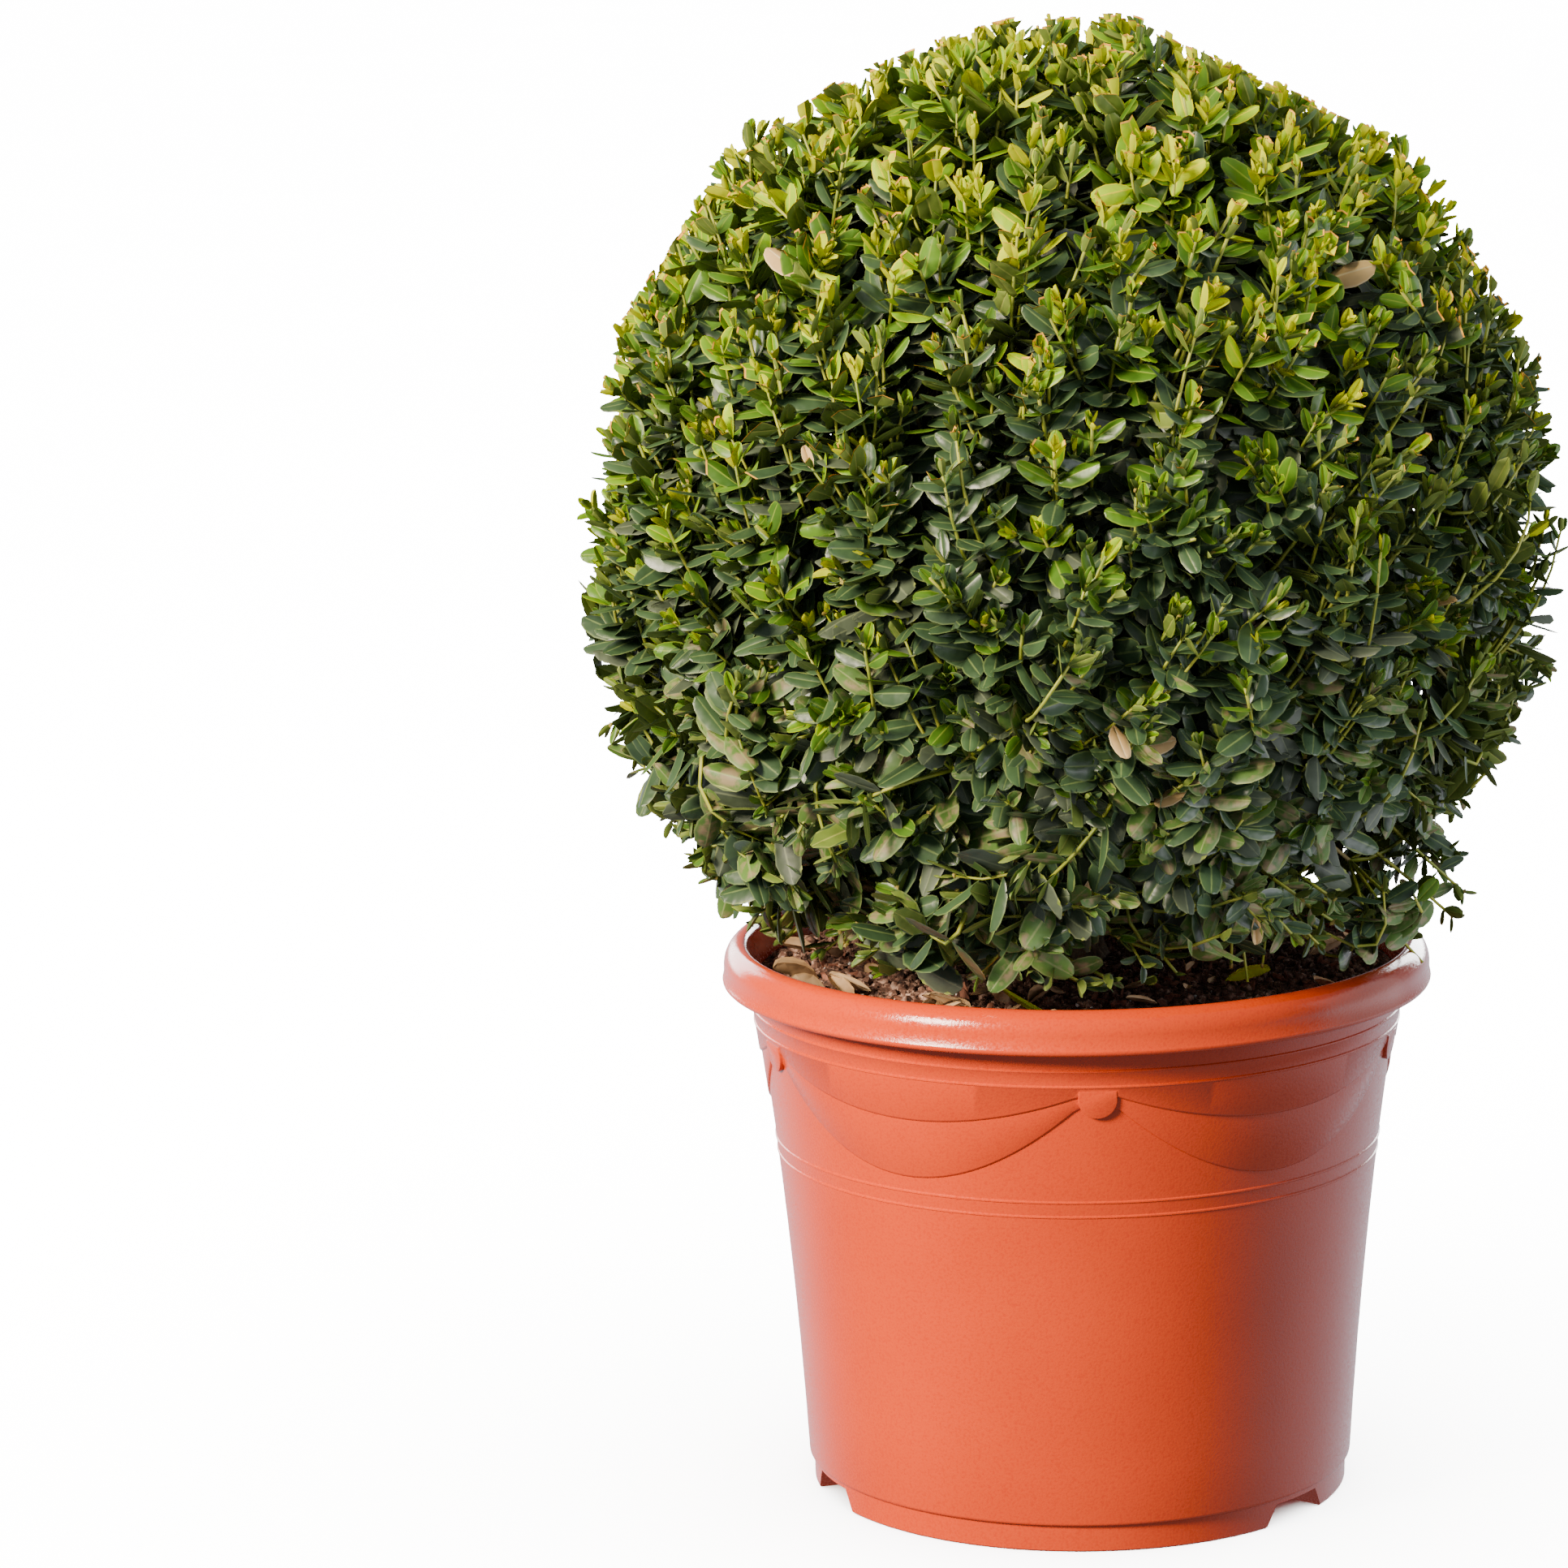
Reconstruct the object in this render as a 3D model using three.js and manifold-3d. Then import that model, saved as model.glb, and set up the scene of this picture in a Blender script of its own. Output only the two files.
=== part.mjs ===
// A clipped box ball in its plastic nursery pot, in millimetres, with +Z up and the floor at zero.
// The front is -Y. Turns are counted in degrees from the front towards +X.
import * as THREE from "three";
import { mergeVertices } from "three/addons/utils/BufferGeometryUtils.js";
import Module from "manifold-3d";

const wasm = await Module();
wasm.setup();

// Sizes of the pot
const potHeight = 267;
const rimRadius = 170;
const mouthRadius = 157.5;
const lipHeight = 20;
const wallFootRadius = 131.7;
const wallTaper = 0.056; // how much the radius grows with each millimetre of height at the foot
const wallFlare = 0.00019; // and with each square millimetre
const wallThickness = 3;
const curveHeights = [70, 130, 190]; // rows that draw the wall's curve
const potSides = 60;

// Sizes of the foot under the pot
const footHeight = 13;
const footRadius = 129.2;
const footWidth = 16;
const floorThickness = 3;
const notchCount = 3;
const notchTurn = 53;
const notchTopWidth = 32;
const notchFootWidth = 45;
const drainCount = 6;
const drainRadius = 6;
const drainCircle = 85;

// Sizes of the swags moulded on the wall, each layer standing out over the one below it
const swagCount = 5;
const swagTurn = 3.6;
const layerStep = 0.8;
const lowerSwagHeight = 219;
const lowerSwagSag = 38.5;
const upperSwagHeight = 224.6;
const upperSwagSag = 15.7;
const tabRadius = 9;

// Sizes of the compost and the limbs
const soilEdgeHeight = 252;
const soilRise = 4;
const soilLump = 1.3;
const trunkFootRadius = 17;
const trunkForkRadius = 11;
const trunkHeight = 40;
const trunkLean = 4;
const boughCount = 5;
const boughFootRadius = 5.6;
const boughTipRadius = 3.6;
const leaderFootRadius = 7.5;

// Sizes of the crown
const ballCentreHeight = 468;
const ballRadius = 237;
const bumpHeight = 2;
const skirtSwell = 14;
const shellDepth = 47;
const shellThinning = 12; // towards the skirt
const coreLump = 5;
const coreSides = 20;
const recessRadius = 96;
const recessTopHeight = 388;
const recessRimHeight = 275;

// Sizes of the shoots and leaves, which are fewer and larger than life
const sprigCount = 66;
const innerLeafCount = 340;
const stemRadius = 3;
const shootRadius = 1.5;
const shootLength = 20;
const leafLength = 47;
const leafWidth = 29;
const leafThickness = 1.8;
const leafWidest = 0.55; // share of the length
const leafSunk = 0.5;
const tipSpread = 47; // of a pair's leaves from the stem, in degrees
const lowSpread = 68;
const footSpread = 80;
const lowBudShare = 0.62; // of the stem's length
const footBudShare = 0.4;
const forkShare = 0.45;
const lowestSprigRise = -53;
const lowestLeafRise = -58;
// Shoots that the shears missed, as turn, rise above level and length past the ball
const strayShoots = [
  [80, -46, 20],
  [104, -33, 10],
  [-98, -27, 10],
  [-30, 68, 6],
];

const gap = 0.3; // between neighbouring pieces
const degree = Math.PI / 180;
const goldenTurn = Math.PI * (3 - Math.sqrt(5));
const up = new THREE.Vector3(0, 0, 1);
const ballCentre = new THREE.Vector3(0, 0, ballCentreHeight);

// A run of even random numbers from 0 to 1 that is the same each time
function randomRun(seed) {
  let state = seed;
  return (low = 0, high = 1) => {
    state = (Math.imul(state, 1664525) + 1013904223) >>> 0;
    return low + ((high - low) * state) / 4294967296;
  };
}

// Solids and meshes
function welded(geometry) {
  const bare = geometry.clone();
  bare.deleteAttribute("normal");
  bare.deleteAttribute("uv");
  return mergeVertices(bare, 1e-4);
}

function solidOf(geometry) {
  const closed = welded(geometry);
  return new wasm.Manifold(
    new wasm.Mesh({
      numProp: 3,
      vertProperties: closed.getAttribute("position").array,
      triVerts: new Uint32Array(closed.index.array),
    }),
  );
}

function geometryOf(solid) {
  const mesh = solid.getMesh();
  const geometry = new THREE.BufferGeometry();
  geometry.setAttribute("position", new THREE.BufferAttribute(mesh.vertProperties, 3));
  geometry.setIndex(new THREE.BufferAttribute(mesh.triVerts, 1));
  geometry.computeVertexNormals();
  return geometry;
}

// Solids joined two and two until one is left
function joined(solids) {
  let row = solids;
  while (row.length > 1) {
    const pairs = [];
    for (let i = 0; i < row.length; i += 2) {
      pairs.push(i + 1 < row.length ? row[i].add(row[i + 1]) : row[i]);
    }
    row = pairs;
  }
  return row[0];
}

// The largest body of a solid, without loose scraps or sealed hollows
function largestBody(solid) {
  return solid.decompose().reduce((best, body) => (body.volume() > best.volume() ? body : best));
}

// A closed shape moved out by the gap, for cutting its neighbours clear of it
function withGap(geometry) {
  const grown = welded(geometry);
  grown.computeVertexNormals();
  const position = grown.getAttribute("position");
  const normal = grown.getAttribute("normal");
  const point = new THREE.Vector3();
  const outward = new THREE.Vector3();
  for (let i = 0; i < position.count; i += 1) {
    point.fromBufferAttribute(position, i);
    outward.fromBufferAttribute(normal, i);
    point.addScaledVector(outward, gap * 1.15);
    position.setXYZ(i, point.x, point.y, point.z);
  }
  return grown;
}

// A profile of [radius, height] rows turned about the plant's axis, its first column at the front
function turned(profile, sides) {
  const points = profile.map(([radius, height]) => new THREE.Vector2(radius, height));
  return new THREE.LatheGeometry(points, sides).rotateX(Math.PI / 2);
}

// Points on a stretch of an ellipse in a profile, from one angle to another
function arc(radius, height, across, along, from, to, steps) {
  return Array.from({ length: steps + 1 }, (_, i) => {
    const angle = (from + ((to - from) * i) / steps) * degree;
    return [radius + across * Math.cos(angle), height + along * Math.sin(angle)];
  });
}

// A round bar along a curve, square to it all the way, with a radius for each share of its length
function limb(curve, radiusAt, sides, steps) {
  const geometry = new THREE.CylinderGeometry(1, 1, 1, sides, steps);
  const position = geometry.getAttribute("position");
  const barAxis = new THREE.Vector3(0, 1, 0);
  const turn = new THREE.Quaternion();
  const point = new THREE.Vector3();
  for (let i = 0; i < position.count; i += 1) {
    point.fromBufferAttribute(position, i);
    const share = point.y + 0.5;
    const radius = radiusAt(share, Math.atan2(point.z, point.x));
    point.y = 0;
    turn.setFromUnitVectors(barAxis, curve.getTangentAt(share));
    point.multiplyScalar(radius).applyQuaternion(turn).add(curve.getPointAt(share));
    position.setXYZ(i, point.x, point.y, point.z);
  }
  return geometry;
}

function mixed(from, to, share) {
  return from + (to - from) * share;
}

// The pot
function wallRadius(height) {
  const rise = height - footHeight;
  return wallFootRadius + wallTaper * rise + wallFlare * rise ** 2;
}

// Rows down the curved wall, moved in by a thickness
function wallRows(heights, inset) {
  return heights.map((height) => [wallRadius(height) - inset, height]);
}

// How far along its sag a swag hangs at a turn, from 0 at the tabs to 1 midway between them
function swagShare(turn) {
  const span = 360 / swagCount;
  const tabHalfTurn = tabRadius / wallRadius(upperSwagHeight) / degree;
  const fromTab = Math.min(turn % span, span - (turn % span));
  const fromMiddle = 1 - Math.max(fromTab - tabHalfTurn, 0) / (span / 2 - tabHalfTurn);
  return 1 - fromMiddle ** 2;
}

// The wall, floor, foot and rolled lip. A row's third value is the sag of the swag that it draws.
function potShell() {
  const lipFoot = potHeight - lipHeight;
  const lipMiddle = lipFoot + lipHeight / 3;
  const lipTopRadius = mouthRadius + 3;
  const underRadius = rimRadius - 6;
  const outerStep = layerStep * 2;
  const floorUnder = footHeight - 2;
  const floorTop = floorUnder + floorThickness;
  const lineHeight = 0.3;
  const profile = [
    [0, floorUnder],
    [footRadius - footWidth, floorUnder],
    [footRadius - footWidth, 0],
    [footRadius, 0],
    [footRadius + 0.3, footHeight],
    [wallFootRadius - 1, footHeight],
    ...wallRows([footHeight + 1.5, ...curveHeights.slice(0, 2)], 0),
    [wallRadius(lowerSwagHeight), lowerSwagHeight - lineHeight, lowerSwagSag],
    [wallRadius(lowerSwagHeight) + layerStep, lowerSwagHeight + lineHeight, lowerSwagSag],
    [wallRadius(upperSwagHeight) + layerStep, upperSwagHeight - lineHeight, upperSwagSag],
    [wallRadius(upperSwagHeight) + outerStep, upperSwagHeight + lineHeight, upperSwagSag],
    [wallRadius(lipFoot) + outerStep, lipFoot],
    ...arc(underRadius, lipMiddle, rimRadius - underRadius, lipMiddle - lipFoot, -90, 0, 2),
    ...arc(lipTopRadius, lipMiddle, rimRadius - lipTopRadius, potHeight - lipMiddle, 30, 90, 2),
    ...arc(lipTopRadius, potHeight - 4, lipTopRadius - mouthRadius, 4, 135, 180, 1),
    ...wallRows([lipFoot, ...curveHeights.toReversed(), floorTop + 2], wallThickness),
    ...wallRows([floorTop], wallThickness + 2),
    [0, floorTop],
  ];
  const shell = turned(profile, potSides);
  const position = shell.getAttribute("position");
  const point = new THREE.Vector3();
  for (let i = 0; i < position.count; i += 1) {
    const turn = (Math.floor(i / profile.length) * 360) / potSides;
    const sag = profile[i % profile.length][2] ?? 0;
    const drop = sag * swagShare(turn);
    point.fromBufferAttribute(position, i);
    const radius = Math.hypot(point.x, point.y) || 1;
    const narrowed = (radius - wallRadius(point.z) + wallRadius(point.z - drop)) / radius;
    position.setXYZ(i, point.x * narrowed, point.y * narrowed, point.z - drop);
  }
  return shell.rotateZ(swagTurn * degree);
}

// The half-round tab that two swags hang from, flush with the layer above them
function swagTab(index) {
  const plate = new THREE.Shape();
  plate.moveTo(-tabRadius, tabRadius / 2);
  plate.absarc(0, 0, tabRadius, Math.PI, 2 * Math.PI, false);
  plate.lineTo(tabRadius, tabRadius / 2);
  const depth = 4;
  const centreHeight = upperSwagHeight - 1;
  const slope = wallTaper + 2 * wallFlare * (centreHeight - footHeight);
  const geometry = new THREE.ExtrudeGeometry(plate, { depth, bevelEnabled: false, curveSegments: 8 });
  return geometry
    .rotateX(Math.PI / 2 + Math.atan(slope))
    .translate(0, depth - wallRadius(centreHeight) - layerStep * 2 - 0.1, centreHeight)
    .rotateZ((swagTurn + (index * 360) / swagCount) * degree);
}

// The wedge that opens one notch in the foot
function footNotch(index) {
  const opening = new THREE.Shape();
  const top = footHeight - 2.5;
  opening.moveTo(-notchTopWidth / 2, top);
  opening.lineTo(-notchFootWidth / 2, 0);
  opening.lineTo(-notchFootWidth / 2, -2);
  opening.lineTo(notchFootWidth / 2, -2);
  opening.lineTo(notchFootWidth / 2, 0);
  opening.lineTo(notchTopWidth / 2, top);
  const depth = footWidth + 12;
  return new THREE.ExtrudeGeometry(opening, { depth, bevelEnabled: false })
    .rotateX(Math.PI / 2)
    .translate(0, depth - footRadius - 4, 0)
    .rotateZ((notchTurn + (index * 360) / notchCount) * degree);
}

function drainHole(index) {
  return new THREE.CylinderGeometry(drainRadius, drainRadius, 20, 12)
    .rotateX(Math.PI / 2)
    .translate(0, -drainCircle, footHeight)
    .rotateZ(((index + 0.5) * 2 * Math.PI) / drainCount);
}

function pot() {
  let solid = solidOf(potShell());
  for (let i = 0; i < swagCount; i += 1) {
    solid = solid.add(solidOf(swagTab(i)));
  }
  for (let i = 0; i < notchCount; i += 1) {
    solid = solid.subtract(solidOf(footNotch(i)));
  }
  for (let i = 0; i < drainCount; i += 1) {
    solid = solid.subtract(solidOf(drainHole(i)));
  }
  return geometryOf(largestBody(solid));
}

// The compost that fills the pot, level at its edge and mounded a little at the trunk
const soilRadius = wallRadius(soilEdgeHeight) - wallThickness - gap;
const trunkSeatRadius = trunkFootRadius + 6;

function soilHeight(radius) {
  const share = Math.max(radius - trunkSeatRadius, 0) / (soilRadius - trunkSeatRadius);
  return soilEdgeHeight + soilRise * (1 - share ** 2);
}

function soil() {
  const floorTop = footHeight - 2 + floorThickness + gap;
  const topRadii = [1, 0.82, 0.6, 0.36].map((share) => soilRadius * share);
  const profile = [
    [0, floorTop],
    ...wallRows([floorTop], wallThickness + gap + 2),
    ...wallRows([floorTop + 2, ...curveHeights], wallThickness + gap),
    ...[...topRadii, trunkSeatRadius, 0].map((radius) => [radius, soilHeight(radius)]),
  ];
  const geometry = turned(profile, potSides / 2);
  const position = geometry.getAttribute("position");
  for (let i = 0; i < position.count; i += 1) {
    const x = position.getX(i);
    const y = position.getY(i);
    const radius = Math.hypot(x, y);
    const onTop = position.getZ(i) > soilEdgeHeight - 1;
    if (onTop && radius > trunkSeatRadius + 1 && radius < soilRadius - 1) {
      const lumps = Math.sin(x / 17 + 1) + Math.sin(y / 14 + x / 31);
      position.setZ(i, position.getZ(i) + soilLump * lumps);
    }
  }
  return geometry.rotateZ(swagTurn * degree);
}

// The short trunk, flared at the soil and leaning a little
const trunkFoot = new THREE.Vector3(0, 0, soilHeight(0) + gap);
const trunkFork = trunkFoot
  .clone()
  .add(new THREE.Vector3(-Math.tan(trunkLean * degree) * trunkHeight, 1, trunkHeight));
const trunkCurve = new THREE.QuadraticBezierCurve3(
  trunkFoot,
  trunkFoot.clone().lerp(trunkFork, 0.5).setX(0).setY(0),
  trunkFork,
);

function trunkRadius(share, angle) {
  const taper = mixed(trunkForkRadius + 1.5, trunkForkRadius, share);
  const flare = (trunkFootRadius - trunkForkRadius - 1.5) * Math.exp(-4 * share);
  return taper + flare * (1 + 0.25 * Math.cos(5 * angle + 1));
}

function trunk() {
  return limb(trunkCurve, trunkRadius, 14, 6);
}

// The boughs: a leader from the trunk's top, and side boughs that leave the trunk in turn and rise
// into the crown
function sideBoughCurve(index) {
  const random = randomRun(31 + index);
  const turn = ((index + random(-0.12, 0.12)) * 2 * Math.PI) / boughCount;
  const outward = new THREE.Vector3(Math.sin(turn), -Math.cos(turn), 0);
  const start = trunkFork.clone();
  start.z -= 17 + 5 * (index % 3);
  const end = outward.clone().multiplyScalar(random(64, 80));
  end.z = recessTopHeight + 8;
  const bend = start.clone().addScaledVector(outward, 30).addScaledVector(up, 26);
  return new THREE.QuadraticBezierCurve3(start, bend, end);
}

function leaderCurve() {
  const start = trunkFork.clone().addScaledVector(up, gap);
  const end = new THREE.Vector3(8, -6, recessTopHeight + 12);
  const bend = start.clone().lerp(end, 0.4).add(new THREE.Vector3(-5, 4, 0));
  return new THREE.QuadraticBezierCurve3(start, bend, end);
}

function limbAlong(curve, radius) {
  return { curve, radius, spots: curve.getPoints(12) };
}

const limbs = [limbAlong(leaderCurve(), leaderFootRadius)];
for (let i = 0; i < boughCount; i += 1) {
  limbs.push(limbAlong(sideBoughCurve(i), boughFootRadius));
}

function bough(index) {
  const { curve, radius } = limbs[index];
  const bar = limb(curve, (share) => mixed(radius, boughTipRadius, share), 9, 7);
  const cut = solidOf(bar).subtract(solidOf(withGap(trunk()))).subtract(solidOf(withGap(crownCore())));
  return geometryOf(largestBody(cut));
}

// A direction from its turn and its rise above level, in degrees
function heading(turn, rise) {
  const level = Math.cos(rise * degree);
  return new THREE.Vector3(
    level * Math.sin(turn * degree),
    -level * Math.cos(turn * degree),
    Math.sin(rise * degree),
  );
}

const strays = strayShoots.map(([turn, rise, reach]) => ({ direction: heading(turn, rise), reach }));

// How far a direction points down into the skirt over the pot's rim, from 0 to 1
function skirtShare(direction) {
  return THREE.MathUtils.smoothstep(-direction.z, 0.4, 0.75);
}

// How far the ball's clipped surface lies from the centre in a direction
function clippedRadius(direction) {
  const { x, y, z } = direction;
  const waves = Math.sin(5 * x + 1) + Math.sin(6 * y + 2.4) + Math.sin(5 * z + x);
  return ballRadius + bumpHeight * waves + skirtSwell * skirtShare(direction);
}

// The clipped surface with the stray shoots that stand past it
function outlineRadius(direction) {
  const past = strays.map((stray) => {
    return stray.reach * THREE.MathUtils.smoothstep(stray.direction.dot(direction), 0.97, 0.995);
  });
  return clippedRadius(direction) + Math.max(...past);
}

// How far the dense inside of the ball reaches from the centre in a direction
function coreSurface(direction) {
  const { x, y, z } = direction;
  const lump = coreLump * Math.sin(13 * x + 9 * z) * Math.sin(14 * y + 2);
  const thinner = shellThinning * skirtShare(direction);
  return clippedRadius(direction) - shellDepth + thinner + lump;
}

// The dense inside of the ball, hollowed from below where the limbs rise into it
function crownCore() {
  const coreRadius = ballRadius - shellDepth;
  const rimAngle = (Math.atan2(recessRimHeight - ballCentreHeight, recessRadius) * 180) / Math.PI;
  const dome = arc(0, recessRimHeight, recessRadius, recessTopHeight - recessRimHeight, 90, 0, 3);
  const ball = arc(0, ballCentreHeight, coreRadius, coreRadius, rimAngle, 90, 9);
  const geometry = turned([...dome, ...ball.slice(1)], coreSides);
  const position = geometry.getAttribute("position");
  const point = new THREE.Vector3();
  for (let i = 0; i < position.count; i += 1) {
    point.fromBufferAttribute(position, i).sub(ballCentre);
    if (i % (dome.length + ball.length - 1) >= dome.length) {
      point.normalize();
      point.multiplyScalar(coreSurface(point));
    }
    point.add(ballCentre);
    position.setXYZ(i, point.x, point.y, point.z);
  }
  return geometry;
}

// Whether points keep to the crown's own space, clear of the limbs, the compost and the pot
function isFree(points) {
  return points.every((point) => {
    const fromCentre = point.clone().sub(ballCentre);
    const distance = fromCentre.length();
    const radius = Math.hypot(point.x, point.y);
    const lowest = radius > soilRadius - 4 ? potHeight + 3 : soilHeight(radius) + 5;
    const inside = distance < outlineRadius(fromCentre.normalize()) + 0.5 && point.z > lowest;
    return inside && limbs.every(({ radius: thick, spots }) => {
      return spots.every((spot) => spot.distanceTo(point) > thick + 2);
    });
  });
}

// The core, a twig or a leaf: its solid and the box round it
function pieceOf(geometry) {
  const closed = welded(geometry);
  closed.computeBoundingBox();
  return { solid: solidOf(closed), box: closed.boundingBox };
}

// Whether a piece cuts into one that it isn't joined to
function crosses(piece, placed, kin) {
  return placed.some((other) => {
    if (kin.includes(other) || !piece.box.intersectsBox(other.box)) {
      return false;
    }
    const common = piece.solid.intersect(other.solid);
    const cutting = !common.isEmpty();
    common.delete();
    return cutting;
  });
}

// One leaf: a flat pointed blade with a raised middle, from its root out along a direction
function leaf(root, direction, across, length) {
  const width = (leafWidth * length) / leafLength;
  const upward = across.clone().cross(direction);
  const along = (share) => root.clone().addScaledVector(direction, length * share);
  const points = [
    root.clone().addScaledVector(direction, -leafSunk),
    along(leafWidest).addScaledVector(across, width / 2),
    along(1),
    along(leafWidest).addScaledVector(across, -width / 2),
    along(0.5).addScaledVector(upward, leafThickness),
  ];
  if (!isFree(points.slice(1, 4))) {
    return null;
  }
  const blade = new THREE.BufferGeometry().setFromPoints(points);
  const topFaces = [0, 1, 4, 1, 2, 4, 2, 3, 4, 3, 0, 4];
  const underFaces = [0, 3, 1, 3, 2, 1];
  blade.setIndex([...topFaces, ...underFaces]);
  return pieceOf(blade);
}

// Two opposite leaves at a bud, each smaller where it has little room and left out where it has none
function growLeafPair(bud, placed) {
  const kin = [bud.host];
  [1, -1].forEach((sign) => {
    const direction = bud.along
      .clone()
      .multiplyScalar(Math.cos(bud.spread * degree))
      .addScaledVector(bud.side, sign * Math.sin(bud.spread * degree));
    const across = bud.along.clone().cross(bud.side).multiplyScalar(sign);
    for (const size of [1, 0.8, 0.62]) {
      const grown = leaf(bud.point, direction, across, bud.length * size);
      if (grown && !crosses(grown, placed, kin)) {
        placed.push(grown);
        kin.push(grown);
        return;
      }
    }
  });
}

// A three-sided twig from one point to another
function twig(from, to, radius) {
  const radiusAt = (share) => mixed(radius, radius * 0.65, share);
  return pieceOf(limb(new THREE.LineCurve3(from, to), radiusAt, 3, 1));
}

// A direction square to a twig, turned about it
function sideOf(along, turn) {
  const across = Math.abs(along.x) > 0.8 ? new THREE.Vector3(0, 1, 0) : new THREE.Vector3(1, 0, 0);
  return across.cross(along).normalize().applyAxisAngle(along, turn);
}

// One sprig: a stem out of the core, plain or forked, and buds for three pairs of leaves on it
function growSprig(direction, forked, random, placed, buds) {
  const lean = heading(random(0, 360), random(-90, 90)).multiplyScalar(0.16);
  const aim = direction.clone().add(lean).normalize();
  const root = ballCentre.clone().addScaledVector(direction, coreSurface(direction) - 6);
  const tipDistance = outlineRadius(aim) - leafLength * Math.cos(tipSpread * degree) - 1;
  const tip = ballCentre.clone().addScaledVector(aim, tipDistance);
  const stem = twig(root, tip, stemRadius);
  if (!isFree([tip]) || crosses(stem, placed, [placed[0]])) {
    return;
  }
  placed.push(stem);
  const along = tip.clone().sub(root).normalize();
  const turn = random(0, 2 * Math.PI);
  const side = sideOf(along, turn);
  const nextSide = sideOf(along, turn + Math.PI / 2);
  const tipBud = tip.clone().addScaledVector(along, -2);
  const lowBud = root.clone().lerp(tip, lowBudShare);
  buds.push({ point: tipBud, along, side, spread: tipSpread, length: leafLength, host: stem });
  buds.push({ point: lowBud, along, side: nextSide, spread: lowSpread, length: leafLength, host: stem });
  if (!forked) {
    const foot = root.clone().lerp(tip, footBudShare);
    buds.push({ point: foot, along, side, spread: footSpread, length: leafLength, host: stem });
    return;
  }
  const start = root.clone().lerp(tip, forkShare);
  const shootAlong = along.clone().multiplyScalar(0.7).addScaledVector(side, 0.72).normalize();
  const end = start.clone().addScaledVector(shootAlong, shootLength);
  const shoot = twig(start, end, shootRadius);
  if (isFree([end]) && !crosses(shoot, placed, [stem])) {
    placed.push(shoot);
    buds.push({
      point: end.addScaledVector(shootAlong, -1.5),
      along: shootAlong,
      side: sideOf(shootAlong, random(0, 2 * Math.PI)),
      spread: random(34, 44),
      length: leafLength * random(0.8, 1),
      host: shoot,
    });
  }
}

// One leaf that stands out of the core between the sprigs, flatter and smaller where it has little room
function growInnerLeaf(direction, random, placed) {
  const root = ballCentre.clone().addScaledVector(direction, coreSurface(direction) - 4);
  const side = sideOf(direction, random(0, 2 * Math.PI));
  const across = direction.clone().cross(side);
  const upright = random(38, 58);
  const tries = [
    [1, upright],
    [0.85, upright + 10],
    [0.7, upright + 18],
  ];
  for (const [size, spread] of tries) {
    const out = direction
      .clone()
      .multiplyScalar(Math.cos(spread * degree))
      .addScaledVector(side, Math.sin(spread * degree));
    const grown = leaf(root, out, across, leafLength * size);
    if (grown && !crosses(grown, placed, [placed[0]])) {
      placed.push(grown);
      return;
    }
  }
}

// Directions spread evenly over the ball by golden turns, down to a lowest rise
function spreadDirections(count, lowestRise) {
  const lowest = Math.sin(lowestRise * degree);
  return Array.from({ length: count }, (_, i) => {
    const rise = Math.asin(mixed(1, lowest, (i + 0.5) / count)) / degree;
    return heading((i * goldenTurn) / degree, rise);
  });
}

function crown() {
  const random = randomRun(7);
  const placed = [pieceOf(crownCore())];
  const buds = [];
  const sprigs = strays.map((stray) => stray.direction);
  sprigs.push(...spreadDirections(sprigCount, lowestSprigRise));
  sprigs.forEach((direction, i) => growSprig(direction, i % 2 === 0, random, placed, buds));
  buds.sort((a, b) => b.point.distanceTo(ballCentre) - a.point.distanceTo(ballCentre));
  buds.forEach((bud) => growLeafPair(bud, placed));
  spreadDirections(innerLeafCount, lowestLeafRise).forEach((direction) => {
    growInnerLeaf(direction, random, placed);
  });
  return geometryOf(largestBody(joined(placed.map((piece) => piece.solid))));
}

// The plant and its pot
const materials = {
  pot: new THREE.MeshStandardMaterial({ color: 0xe8673f, roughness: 0.42, metalness: 0 }),
  soil: new THREE.MeshStandardMaterial({ color: 0x3a2a22, roughness: 0.95, metalness: 0 }),
  bark: new THREE.MeshStandardMaterial({ color: 0x8a7a5c, roughness: 0.85, metalness: 0 }),
  leaves: new THREE.MeshStandardMaterial({ color: 0x3f6b23, roughness: 0.45, metalness: 0 }),
};

const group = new THREE.Group();

function place(name, geometry, material) {
  const mesh = new THREE.Mesh(geometry, material);
  mesh.name = name;
  group.add(mesh);
}

place("pot", pot(), materials.pot);
place("soil", soil(), materials.soil);
place("trunk", trunk(), materials.bark);
place("bough_leader", bough(0), materials.bark);
for (let i = 1; i <= boughCount; i += 1) {
  place("bough_" + i, bough(i), materials.bark);
}
place("crown", crown(), materials.leaves);

export default group;
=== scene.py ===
import math

import bmesh
import bpy
import numpy as np
from mathutils import Matrix, Vector, noise


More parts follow.
